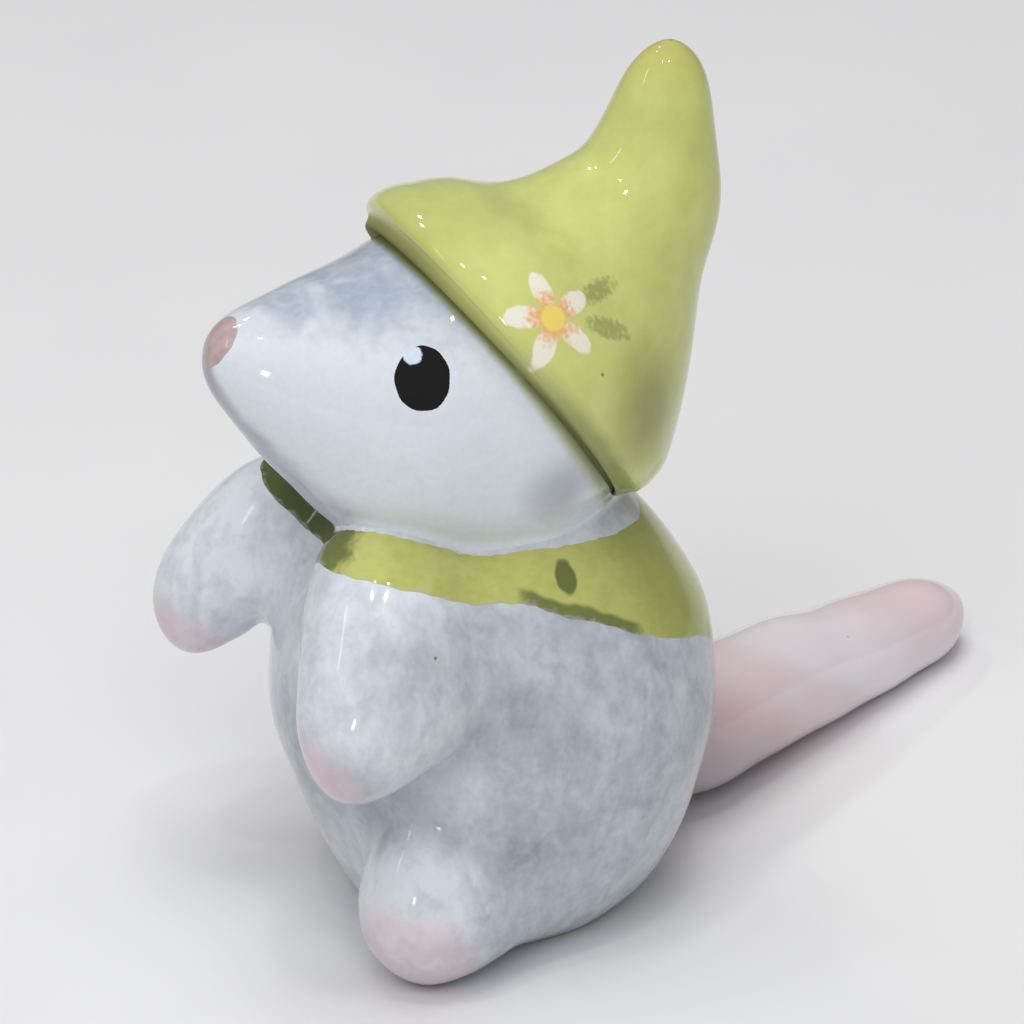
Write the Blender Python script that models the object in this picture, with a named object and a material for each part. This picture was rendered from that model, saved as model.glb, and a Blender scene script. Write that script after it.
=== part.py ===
"""Glazed clay possum figurine in a pointed hat, as a Blender 4.5 model (metres, +Z up).

The possum faces -Y, so its left side is +X, and it sits on the plane Z = 0 with the origin in
the middle of the flat under its body. It is hand-built: each lump of clay is its own closed
solid that seats on its neighbour over a thin joint of slip, and the scarf, the eyes and the
nose are inlays of coloured slip, flush with the clay round them. Nothing moves.

Every lump is a loft. Egg-shaped sections stand on a bent spine, and the square of their girth
runs to zero at both ends, which closes each end as round as rolled clay.
"""

import math
from collections import namedtuple

import bmesh
import bpy
from mathutils import Matrix, Vector

# Driving dimensions, in millimetres. A Section is a spine point, the half-width across the
# possum, the half-height above the spine and the one below it, where that differs.
Section = namedtuple("Section", "x y z wide tall drop", defaults=(None,))

SLIP_GAP = 0.3  # joint between two pieces, all round
BODY_WALL = 4.5  # clay left round the hollow in the body
VENT_RADIUS = 1.6  # hole that lets steam out of the hollow in the kiln
VENT_BACK = 5.0  # how far behind the origin the vent sits
SCARF_DEPTH = 0.8  # thickness of the scarf's layer of colour
SCARF_HEM = 27.4  # height of its lower edge on the chest
SCARF_POINT = 13.4  # height of its corner behind
SCARF_TURN = 85.0  # degrees from the front where the hem starts to fall to the corner
SCARF_RISE = 0.6  # slope of the hem as it climbs out over the shoulders
SCARF_CHEST = 11.5  # distance from the axis at which the hem has its named height
EYE_ALONG = 22.7  # place of the eyes along the head's spine
EYE_ANGLE = 23.0  # degrees that the eyes sit above the head's middle
EYE_SIZE = (1.85, 2.2, 1.0)  # half-length, half-height and depth of an eye
NOSE_ALONG = 33.9  # place of the nose along the head's spine, just above the tip
NOSE_SIZE = (1.7, 1.8, 1.3)
INLAY_PROUD = 0.12  # how far the eyes and the nose stand out of the head

BODY = (
    Section(0, 0, -3.0, 0, 0),
    Section(0, 0, 0.0, 9.5, 9.5, 9.0),
    Section(0, 0, 3.2, 12.0, 12.0, 11.2),
    Section(0, 0, 9.3, 14.7, 14.8, 13.9),
    Section(0, 0, 16.0, 15.5, 15.9, 15.5),
    Section(0, 0, 21.0, 14.8, 15.2),
    Section(0, 0, 25.0, 13.0, 13.4),
    Section(0, 0, 29.0, 10.4, 10.6),
    Section(0, 0, 32.0, 6.8, 6.8),
    Section(0, 0, 33.3, 0, 0),
)
HEAD = (
    Section(0, 12.4, 40.6, 0, 0),
    Section(0, 9.5, 40.2, 6.8, 6.3, 6.8),
    Section(0, 5.5, 39.6, 9.8, 9.2, 9.8),
    Section(0, -0.5, 39.0, 11.8, 11.2, 12.3),
    Section(0, -7.0, 39.8, 10.8, 10.6, 11.2),
    Section(0, -12.5, 41.5, 7.9, 7.7),
    Section(0, -16.8, 43.4, 5.0, 4.8),
    Section(0, -19.2, 44.6, 3.0, 2.9),
    Section(0, -20.4, 45.3, 0, 0),
)
HAT = (
    Section(0, -0.5, 40.35, 0, 0),
    Section(0, 0.0, 40.7, 12.9, 12.9, 13.0),
    Section(0, 1.0, 41.4, 13.3, 13.2, 13.6),
    Section(0, 3.5, 43.1, 12.3, 11.8, 13.9),
    Section(0, 5.8, 44.7, 10.1, 10.0, 11.5),
    Section(0, 7.6, 46.3, 8.2, 8.1, 9.1),
    Section(0, 9.5, 48.5, 6.5, 6.4, 6.8),
    Section(0, 11.6, 51.4, 5.1, 5.0, 5.2),
    Section(0, 12.8, 55.1, 4.0, 4.0),
    Section(0, 13.3, 58.6, 3.0, 3.0),
    Section(0, 13.45, 60.4, 2.15, 2.15),
    Section(0, 13.5, 61.5, 0, 0),
)
LEFT_ARM = (
    Section(1.8, -8.0, 30.3, 0, 0),
    Section(5.2, -9.8, 28.0, 5.0, 5.7, 8.2),
    Section(8.0, -11.4, 25.8, 5.6, 5.9, 8.8),
    Section(10.5, -13.2, 23.2, 5.2, 5.5, 8.0),
    Section(12.3, -15.2, 20.0, 4.5, 4.6, 5.8),
    Section(12.9, -17.0, 16.5, 0, 0),
)
RIGHT_ARM = (
    Section(-5.0, 0.0, 24.6, 0, 0),
    Section(-8.4, -5.4, 25.2, 6.7, 6.6, 5.6),
    Section(-10.5, -10.8, 24.6, 6.0, 6.0, 4.8),
    Section(-12.1, -14.5, 22.3, 4.8, 4.8, 4.2),
    Section(-12.6, -16.7, 19.4, 3.8, 3.8, 3.6),
    Section(-12.6, -17.9, 16.4, 0, 0),
)
ARMS = {"left_arm": LEFT_ARM, "right_arm": RIGHT_ARM}
LEFT_LEG = (
    Section(7.0, 3.0, 6.6, 0, 0),
    Section(8.7, -3.0, 6.4, 5.0, 5.6, 5.6),
    Section(10.4, -8.8, 5.5, 5.2, 5.9, 5.5),
    Section(11.4, -11.8, 4.7, 4.4, 4.9, 4.8),
    Section(12.0, -14.4, 4.0, 0, 0),
)
# The right foot is set further back than the left, as a hand places it.
RIGHT_LEG = (
    Section(-7.5, 10.5, 6.6, 0, 0),
    Section(-9.9, 4.6, 6.4, 5.1, 5.6, 5.7),
    Section(-11.4, -0.6, 5.5, 5.1, 5.6, 5.5),
    Section(-12.1, -3.6, 4.7, 4.4, 4.8, 4.8),
    Section(-12.5, -6.6, 4.0, 0, 0),
)
TAIL = (
    Section(-1.0, 8.0, 7.4, 0, 0),
    Section(-5.5, 18.0, 5.9, 4.7, 5.2, 5.1),
    Section(-10.0, 26.8, 5.0, 4.5, 4.9, 4.7),
    Section(-15.2, 37.0, 3.7, 4.1, 4.1, 4.0),
    Section(-18.7, 44.0, 3.0, 3.6, 3.5, 3.5),
    Section(-21.2, 49.2, 2.6, 0, 0),
)

# Rings along a lump and sides round it.
BODY_MESH = (24, 36)
HEAD_MESH = (24, 30)
HAT_MESH = (26, 32)
ARM_MESH = (18, 24)
LEG_MESH = (18, 24)
TAIL_MESH = (20, 24)

MM = 0.001


def glaze(name, colour, roughness):
    """Glossy fired glaze of one colour."""
    material = bpy.data.materials.new(name)
    material.use_nodes = True
    shader = material.node_tree.nodes["Principled BSDF"]
    shader.inputs["Base Color"].default_value = (*colour, 1)
    shader.inputs["Roughness"].default_value = roughness
    shader.inputs["Metallic"].default_value = 0
    return material


def slopes(knots, values):
    """Slopes for a cubic through the values that never overshoots them."""
    steps = [(b - a) / (k - j) for a, b, j, k in zip(values, values[1:], knots, knots[1:])]
    inner = [2 * p * q / (p + q) if p * q > 0 else 0 for p, q in zip(steps, steps[1:])]
    return [steps[0], *inner, steps[-1]]


def interpolate(knots, values, slope, at):
    """Value of the piecewise cubic at one place along the knots."""
    span = next((i for i in range(len(knots) - 2) if at <= knots[i + 1]), len(knots) - 2)
    width = knots[span + 1] - knots[span]
    t = (at - knots[span]) / width
    rise = t * t * (3 - 2 * t)
    bend = slope[span] * t * (1 - t) ** 2 - slope[span + 1] * t * t * (1 - t)
    return values[span] * (1 - rise) + values[span + 1] * rise + width * bend


class Loft:
    """Smooth spine and girth through a row of sections, in millimetres."""

    def __init__(self, sections):
        self.spine = [Vector((s.x, s.y, s.z)) for s in sections]
        self.knots = [0]
        for a, b in zip(self.spine, self.spine[1:]):
            self.knots.append(self.knots[-1] + (b - a).length)
        self.length = self.knots[-1]
        last = len(self.spine) - 1
        self.turns = []
        for i in range(last + 1):
            a, b = max(i - 1, 0), min(i + 1, last)
            self.turns.append((self.spine[b] - self.spine[a]) / (self.knots[b] - self.knots[a]))
        squares = [[], [], []]
        for s in sections:
            squares[0].append(s.wide**2)
            squares[1].append(s.tall**2)
            squares[2].append((s.tall if s.drop is None else s.drop) ** 2)
        self.girths = [(values, slopes(self.knots, values)) for values in squares]

    def point(self, at):
        """Point of the spine at a length along it."""
        return Vector(
            interpolate(self.knots, [p[i] for p in self.spine], [t[i] for t in self.turns], at)
            for i in range(3)
        )

    def section(self, at):
        """Centre, across and upward directions, and the three half-sizes of one section."""
        step = self.length * 0.001
        ahead = self.point(min(at + step, self.length)) - self.point(max(at - step, 0))
        ahead.normalize()
        across = (Vector((1, 0, 0)) - ahead * ahead.x).normalized()
        upward = ahead.cross(across)
        if upward.z < -1e-6:
            upward.negate()
        sizes = [math.sqrt(max(interpolate(self.knots, g, s, at), 0)) for g, s in self.girths]
        return self.point(at), across, upward, sizes

    def ring_place(self, at):
        """Function from a unit circle's cosine and sine to the section's outline."""
        centre, across, upward, (wide, tall, drop) = self.section(at)

        def place(cosine, sine):
            return centre + across * (wide * cosine) + upward * ((tall if sine > 0 else drop) * sine)

        return place

    def seat(self, at, angle):
        """Frame on the surface: X along the spine, Y round it and Z out of the surface."""
        step = 0.01

        def surface(place, turn):
            return self.ring_place(place)(math.cos(turn), math.sin(turn))

        along = surface(at + step, angle) - surface(at - step, angle)
        around = surface(at, angle + step) - surface(at, angle - step)
        here = surface(at, angle)
        out = along.cross(around).normalized()
        if out.dot(here - self.point(at)) < 0:
            out.negate()
        along.normalize()
        axes = along, out.cross(along), out
        return Matrix.Translation(here * MM) @ Matrix(axes).transposed().to_4x4()


def ring(mesh, sides, place):
    """Closed loop of points placed from a unit circle; gives its points and its edges."""
    points = bmesh.ops.create_circle(mesh, segments=sides, radius=1)["verts"]
    edges = {edge for point in points for edge in point.link_edges}
    for point in points:
        point.co = place(point.co.x, point.co.y) * MM
    return points, list(edges)


def finished(mesh, name, push):
    """Mesh data with its faces turned out, and its surface pushed out along its normals."""
    bmesh.ops.recalc_face_normals(mesh, faces=mesh.faces)
    mesh.normal_update()
    moves = [(point, point.normal * (push * MM)) for point in mesh.verts]
    for point, move in moves:
        point.co += move
    data = bpy.data.meshes.new(name)
    mesh.to_mesh(data)
    mesh.free()
    data.shade_smooth()
    data.set_sharp_from_angle(angle=math.radians(50))
    return data


def lump(name, sections, rings, sides, flat=False, push=0):
    """Loft skinned over its sections; rings crowd toward the ends, which close to a point."""
    loft = Loft(sections)
    mesh = bmesh.new()
    rows = []
    for k in range(1, rings):
        at = loft.length * (1 - math.cos(math.pi * k / rings)) / 2
        rows.append(ring(mesh, sides, loft.ring_place(at)))
    for (_, a), (_, b) in zip(rows, rows[1:]):
        bmesh.ops.bridge_loops(mesh, edges=a + b)
    for (points, edges), at in ((rows[0], 0), (rows[-1], loft.length)):
        cap = bmesh.ops.contextual_create(mesh, geom=edges)["faces"]
        tip = bmesh.ops.poke(mesh, faces=cap)["verts"][0]
        tip.co = loft.point(at) * MM
    if flat:
        bmesh.ops.bisect_plane(
            mesh,
            geom=[*mesh.verts, *mesh.edges, *mesh.faces],
            plane_co=(0, 0, 0),
            plane_no=(0, 0, -1),
            clear_outer=True,
        )
        rim = [edge for edge in mesh.edges if edge.is_boundary]
        bmesh.ops.contextual_create(mesh, geom=rim)
    return finished(mesh, name, push)


def collar(name, lower=0):
    """Space that the scarf fills: all above a conical hem, which falls to a corner behind."""

    def place_at(radius, top=None):
        def place(cosine, sine):
            turn = math.degrees(math.acos(max(-1, min(1, -sine))))
            fall = max(0, turn - SCARF_TURN) / (180 - SCARF_TURN)
            hem = SCARF_HEM - (SCARF_HEM - SCARF_POINT) * fall - lower
            hem += SCARF_RISE * (radius - SCARF_CHEST)
            return Vector((radius * cosine, radius * sine, hem if top is None else top))

        return place

    mesh = bmesh.new()
    hems = [place_at(radius) for radius in (6, 9, 11, 13, 15, 17, 20, 24)]
    loops = [ring(mesh, 60, place)[1] for place in (*hems, place_at(24, 42), place_at(6, 42))]
    for a, b in zip(loops, loops[1:] + loops[:1]):
        bmesh.ops.bridge_loops(mesh, edges=a + b)
    return finished(mesh, name, 0)


def pebble(name, size, push=0):
    """Ellipsoid that beds an inlay in the clay."""
    mesh = bmesh.new()
    bmesh.ops.create_uvsphere(mesh, u_segments=24, v_segments=12, radius=MM)
    bmesh.ops.scale(mesh, vec=Vector(size), verts=mesh.verts)
    return finished(mesh, name, push)


def drill(name, radius, bottom, top):
    """Upright cylinder for a drilled hole."""
    mesh = bmesh.new()
    bmesh.ops.create_cone(
        mesh,
        cap_ends=True,
        segments=24,
        radius1=radius * MM,
        radius2=radius * MM,
        depth=(top - bottom) * MM,
        matrix=Matrix.Translation((0, 0, (top + bottom) / 2 * MM)),
    )
    return finished(mesh, name, 0)


def add(name, data, parent=None, matrix=None):
    """Object in the scene, placed under its parent."""
    obj = bpy.data.objects.new(name, data)
    bpy.context.scene.collection.objects.link(obj)
    obj.parent = parent
    if matrix is not None:
        obj.matrix_local = matrix
    return obj


def tool(name, data, matrix=None):
    """Shape that only cuts."""
    obj = add(name, data, matrix=matrix)
    obj.hide_render = True
    obj.display_type = "WIRE"
    return obj


def shape_with(obj, cutter, operation="DIFFERENCE", solver="EXACT"):
    """Boolean that stays live on the object."""
    change = obj.modifiers.new(operation.lower() + "_" + cutter.name, "BOOLEAN")
    change.operation = operation
    change.solver = solver
    change.object = cutter


def hollow_sections():
    """Hollow of the pinched body, one wall in from its outside."""
    top = BODY[-1].z - BODY_WALL
    inside = [s for s in BODY if BODY_WALL + 1 < s.z < top - 1]
    shrunk = [
        Section(s.x, s.y, s.z, *(size - BODY_WALL for size in (s.wide, s.tall, s.drop or s.tall)))
        for s in inside
    ]
    return [Section(0, 0, BODY_WALL, 0, 0), *shrunk, Section(0, 0, top, 0, 0)]


def build_body(root):
    """Pinched pot with a hollow and a vent in the flat that it sits on."""
    body = add("body", lump("body", BODY, *BODY_MESH, flat=True), root)
    body.data.materials.append(glaze("grey_wash_glaze", (0.42, 0.45, 0.49), 0.14))
    shape_with(body, tool("body_hollow", lump("body_hollow", hollow_sections(), 16, 28)))
    vent = drill("vent", VENT_RADIUS, -1, BODY_WALL + 3)
    shape_with(body, tool("vent", vent, Matrix.Translation((0, VENT_BACK * MM, 0))))
    return body


def build_scarf(body, arms, head_skin):
    """Scarf as the outer layer of the chest and the shoulders, let into both above its hem."""
    clay = {"body": (BODY, BODY_MESH), **{name: (ARMS[name], ARM_MESH) for name in arms}}
    scarf = add("scarf", lump("scarf", BODY, *BODY_MESH), body)
    scarf.data.materials.append(glaze("scarf_green_glaze", (0.37, 0.40, 0.06), 0.14))
    for name in arms:
        shape_with(scarf, tool(name + "_full", lump(name, ARMS[name], *ARM_MESH)), "UNION")
    shape_with(scarf, tool("scarf_space", collar("scarf_space")), "INTERSECT")
    cores = {}
    for name, (sections, density) in clay.items():
        core = lump(name + "_core", sections, *density, push=-SCARF_DEPTH)
        shape_with(scarf, tool(name + "_core", core))
        core = lump(name + "_bed_core", sections, *density, push=-SCARF_DEPTH - SLIP_GAP)
        cores[name] = tool(name + "_bed_core", core)
    shape_with(scarf, head_skin)
    for name, piece in {"body": body, **arms}.items():
        bed = tool(name + "_bed", collar(name + "_bed", lower=SLIP_GAP))
        shape_with(bed, cores[name])
        if piece is body:
            for arm in arms:
                shape_with(bed, cores[arm])
        shape_with(piece, bed, solver="MANIFOLD")


def build_head(body, body_skin):
    """Head luted on the shoulders, with eyes and a nose inlaid in its surface."""
    head = add("head", lump("head", HEAD, *HEAD_MESH), body)
    head.data.materials.append(glaze("white_glaze", (0.66, 0.69, 0.75), 0.12))
    shape_with(head, body_skin)
    proud = tool("head_proud", lump("head_proud", HEAD, *HEAD_MESH, push=INLAY_PROUD))
    loft = Loft(HEAD)
    tilt = math.radians(EYE_ANGLE)
    inlays = (
        ("left_eye", loft.seat(EYE_ALONG, tilt), EYE_SIZE, (0.012, 0.010, 0.012)),
        ("right_eye", loft.seat(EYE_ALONG, math.pi - tilt), EYE_SIZE, (0.012, 0.010, 0.012)),
        ("nose", loft.seat(NOSE_ALONG, math.pi / 2), NOSE_SIZE, (0.60, 0.35, 0.31)),
    )
    for name, matrix, size, colour in inlays:
        inlay = add(name, pebble(name, size), head, matrix)
        inlay.data.materials.append(glaze(name + "_glaze", colour, 0.10))
        shape_with(inlay, proud, "INTERSECT")
        bed = tool(name + "_bed", pebble(name + "_bed", size, push=SLIP_GAP), matrix)
        shape_with(head, bed)
    return head


def build_hat(head, body_skin, head_skin):
    """Bent pointed hat, pressed over the crown so that its lip stands clear of the face."""
    hat = add("hat", lump("hat", HAT, *HAT_MESH), head)
    hat.data.materials.append(glaze("hat_green_glaze", (0.46, 0.50, 0.09), 0.12))
    shape_with(hat, head_skin)
    shape_with(hat, body_skin)


def build_limbs(body, body_skin, head_skin):
    """Arms, legs and tail: tapered rolls of clay, luted on the body and flat where they rest."""
    arms = {}
    for name, sections in ARMS.items():
        arm = add(name, lump(name, sections, *ARM_MESH), body)
        arm.data.materials.append(glaze(name + "_glaze", (0.58, 0.61, 0.66), 0.13))
        shape_with(arm, body_skin)
        shape_with(arm, head_skin)
        arms[name] = arm
    for name, sections in (("left_leg", LEFT_LEG), ("right_leg", RIGHT_LEG)):
        leg = add(name, lump(name, sections, *LEG_MESH, flat=True), body)
        leg.data.materials.append(glaze(name + "_glaze", (0.52, 0.55, 0.60), 0.13))
        shape_with(leg, body_skin)
    tail = add("tail", lump("tail", TAIL, *TAIL_MESH, flat=True), body)
    tail.data.materials.append(glaze("pink_glaze", (0.70, 0.55, 0.57), 0.12))
    shape_with(tail, body_skin)
    return arms


def main():
    for obj in list(bpy.data.objects):
        bpy.data.objects.remove(obj)
    root = add("figurine", None)
    body_skin = tool("body_skin", lump("body_skin", BODY, *BODY_MESH, push=SLIP_GAP))
    head_skin = tool("head_skin", lump("head_skin", HEAD, *HEAD_MESH, push=SLIP_GAP))
    body = build_body(root)
    head = build_head(body, body_skin)
    build_hat(head, body_skin, head_skin)
    arms = build_limbs(body, body_skin, head_skin)
    build_scarf(body, arms, head_skin)


main()
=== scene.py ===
"""Looks of the glazed clay possum figurine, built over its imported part.

The possum faces -Y, its left is +X, and it sits on the plane Z = 0. Shapes are worked out in
millimetres and turned to metres when a mesh is made. The rolls of clay are smoothed into each
other where a thumb has drawn the slip over the joint, and every colour lies under one clear glaze.
"""

from __future__ import annotations

import logging
import math
from dataclasses import dataclass
from enum import Enum
from typing import Callable, Dict, List, Optional, Tuple, Union

import bpy
import numpy as np
from mathutils import Matrix, Vector

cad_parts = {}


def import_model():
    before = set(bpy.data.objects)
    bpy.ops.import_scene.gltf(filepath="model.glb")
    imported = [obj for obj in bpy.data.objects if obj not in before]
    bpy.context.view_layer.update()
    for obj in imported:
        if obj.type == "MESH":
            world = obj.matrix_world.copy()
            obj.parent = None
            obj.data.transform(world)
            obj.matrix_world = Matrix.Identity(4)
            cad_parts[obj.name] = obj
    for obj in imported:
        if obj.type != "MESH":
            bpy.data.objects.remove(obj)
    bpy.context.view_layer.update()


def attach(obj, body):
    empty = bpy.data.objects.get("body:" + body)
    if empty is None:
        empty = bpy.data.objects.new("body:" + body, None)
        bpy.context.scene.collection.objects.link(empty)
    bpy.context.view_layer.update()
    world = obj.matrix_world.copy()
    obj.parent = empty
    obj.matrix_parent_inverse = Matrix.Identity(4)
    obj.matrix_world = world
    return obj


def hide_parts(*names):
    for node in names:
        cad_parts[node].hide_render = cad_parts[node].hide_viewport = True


LOG = logging.getLogger("possum")
MM = 0.001
TINY = 1e-9
FULL_TURN = 2 * math.pi
SLOPE_STEP = 0.04  # how far either side of a point its slope is read
FAR_OFF = 50.0  # height that stands for a roll too far away to matter
FOOT_LINE = (0.25, 0.05)  # heights between which the glaze was wiped off the underside

Row = Tuple[float, ...]
Point = Tuple[float, float, float]
Aim = Tuple[float, float]
Colour = Tuple[float, float, float, float]
Bell = Tuple[float, float, float]
Seat = Tuple[np.ndarray, np.ndarray, np.ndarray, np.ndarray]


def turns_round(count: int) -> np.ndarray:
    """Angles of equal steps round a full turn, in radians."""
    return np.arange(count) * FULL_TURN / count


def crowded(count: int) -> np.ndarray:
    """Shares from 0 to 1 that crowd towards both ends, as equal turns of a half circle do."""
    return (1 - np.cos(np.linspace(0, math.pi, count + 1))) / 2


def unit(vectors: np.ndarray) -> np.ndarray:
    """Vectors cut to a length of one, along the last axis."""
    return vectors / np.maximum(np.linalg.norm(vectors, axis=-1, keepdims=True), TINY)


def uphill(height: Callable[[np.ndarray], np.ndarray], points: np.ndarray) -> np.ndarray:
    """Direction in which a field of heights rises, by small differences.

    Args:
        height: gives the heights of points.
        points: points in rows.

    Returns:
        One direction for each point.
    """
    steps = np.eye(3) * SLOPE_STEP
    return unit(np.stack([height(points + step) - height(points - step) for step in steps], -1))


def bell(at: np.ndarray, shape: Bell) -> np.ndarray:
    """Bell curve of a given height, middle and width: height * exp(-((at - middle) / width)**2)."""
    height, middle, width = shape
    return height * np.exp(-((at - middle) / width) ** 2)


def from_front(around: np.ndarray) -> np.ndarray:
    """Degrees between a direction, in radians from the front, and the front: 0 to 180 either way."""
    return np.degrees(np.abs((around + math.pi) % FULL_TURN - math.pi))


def aim(turn: float, tilt: float) -> np.ndarray:
    """Direction from the object to something seen at those degrees from the front and the level."""
    a, e = math.radians(turn), math.radians(tilt)
    return np.array((math.sin(a) * math.cos(e), -math.cos(a) * math.cos(e), math.sin(e)))


def paint(red: float, green: float, blue: float) -> Colour:
    """Colour as the eye sees it, 0 to 255, turned to the linear light that a shader takes.

    Args:
        red: share of red.
        green: share of green.
        blue: share of blue.

    Returns:
        Linear red, green and blue, with an alpha of one.
    """
    shares = np.array((red, green, blue)) / 255
    linear = np.where(shares < 0.04045, shares / 12.92, ((shares + 0.055) / 1.055) ** 2.4)
    return (*linear.tolist(), 1.0)


WHITE_SLIP = paint(222, 227, 235)
GREY_WASH = paint(150, 158, 170)
PINK_SLIP = paint(216, 188, 192)
BARE_CLAY = paint(206, 198, 186)
LEAF_GREEN = paint(209, 214, 131)
OLIVE_GREEN = paint(154, 158, 78)
DARK_GREEN = paint(84, 96, 52)
SPECK_BROWN = paint(120, 84, 40)
CROWN_BLUE = paint(158, 170, 187)
# Painted shade under the chin and at the nape.
PAINTED_SHADE_GREY = paint(136, 137, 147)
BRIM_GREEN = paint(158, 164, 98)
PETAL_WHITE = paint(240, 236, 222)
PETAL_ORANGE = paint(236, 164, 92)
PETAL_YELLOW = paint(240, 214, 110)
LIP_YELLOW = paint(206, 198, 112)
POINT_OCHRE = paint(186, 182, 100)
# Painted shade on the hat's side.
SIDE_SHADE_OLIVE = paint(142, 144, 68)
# Painted shade where the hat's lip tucks in.
TUCK_SHADE_GREEN = paint(70, 76, 42)
SCARF_LIGHT = paint(196, 200, 116)
SCARF_DEEP = paint(146, 152, 72)
# Painted shade on the scarf behind the shoulder.
BACK_SHADE_GREEN = paint(122, 128, 60)
# Painted shade on the scarf under the head.
THROAT_SHADE_GREEN = paint(74, 84, 46)
HEM_GREY = paint(176, 182, 180)
TAIL_WHITE = paint(238, 232, 237)
TAIL_ROSE = paint(230, 209, 215)
ROOT_ROSE = paint(208, 183, 188)
# Painted shade at the tail's root.
ROOT_SHADE_GREY = paint(158, 150, 157)
EYE_BLACKS = paint(14, 13, 15), paint(24, 23, 25)
DOT_BLUES = paint(186, 208, 236), paint(226, 234, 244)
NOSE_PINKS = paint(192, 170, 170), paint(178, 154, 154)
FLOOR_WHITES = paint(232, 232, 234), paint(238, 238, 239)


class Closing(Enum):
    """How the rows of a grid of points end."""

    POLES = "each end row lies on one point"
    LOOP = "the last row joins the first"


class Reading:
    """Value of a socket in a material; Python's operators on it add Math nodes."""

    def __init__(self, bench: Bench, socket: bpy.types.NodeSocket) -> None:
        """Keep the socket and the bench whose nodes it belongs to."""
        self.bench = bench
        self.socket = socket

    def __add__(self, other: Term) -> Reading:
        """Sum."""
        return self.bench.math("ADD", self, other)

    def __radd__(self, other: Term) -> Reading:
        """Sum with a number on the left."""
        return self.bench.math("ADD", other, self)

    def __sub__(self, other: Term) -> Reading:
        """Difference."""
        return self.bench.math("SUBTRACT", self, other)

    def __rsub__(self, other: Term) -> Reading:
        """Difference from a number on the left."""
        return self.bench.math("SUBTRACT", other, self)

    def __mul__(self, other: Term) -> Reading:
        """Product."""
        return self.bench.math("MULTIPLY", self, other)

    def __rmul__(self, other: Term) -> Reading:
        """Product with a number on the left."""
        return self.bench.math("MULTIPLY", other, self)

    def __truediv__(self, other: Term) -> Reading:
        """Quotient."""
        return self.bench.math("DIVIDE", self, other)

    def __pow__(self, other: Term) -> Reading:
        """Power."""
        return self.bench.math("POWER", self, other)

    def __abs__(self) -> Reading:
        """Size without its sign."""
        return self.bench.math("ABSOLUTE", self)

    def low(self, other: Term) -> Reading:
        """The lower of the two."""
        return self.bench.math("MINIMUM", self, other)

    def high(self, other: Term) -> Reading:
        """The higher of the two."""
        return self.bench.math("MAXIMUM", self, other)

    def clamp(self) -> Reading:
        """Held between 0 and 1."""
        return self.low(1.0).high(0.0)

    def fade(self, start: float, end: float) -> Reading:
        """Smooth step from 0 at start to 1 at end; start may be the higher of the two."""
        inputs = {"Value": self, "From Min": start, "From Max": end}
        settings = {"interpolation_type": "SMOOTHSTEP"}
        node = self.bench.node("ShaderNodeMapRange", settings, inputs)
        return Reading(self.bench, node.outputs["Result"])


Term = Union[Reading, float]


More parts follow.
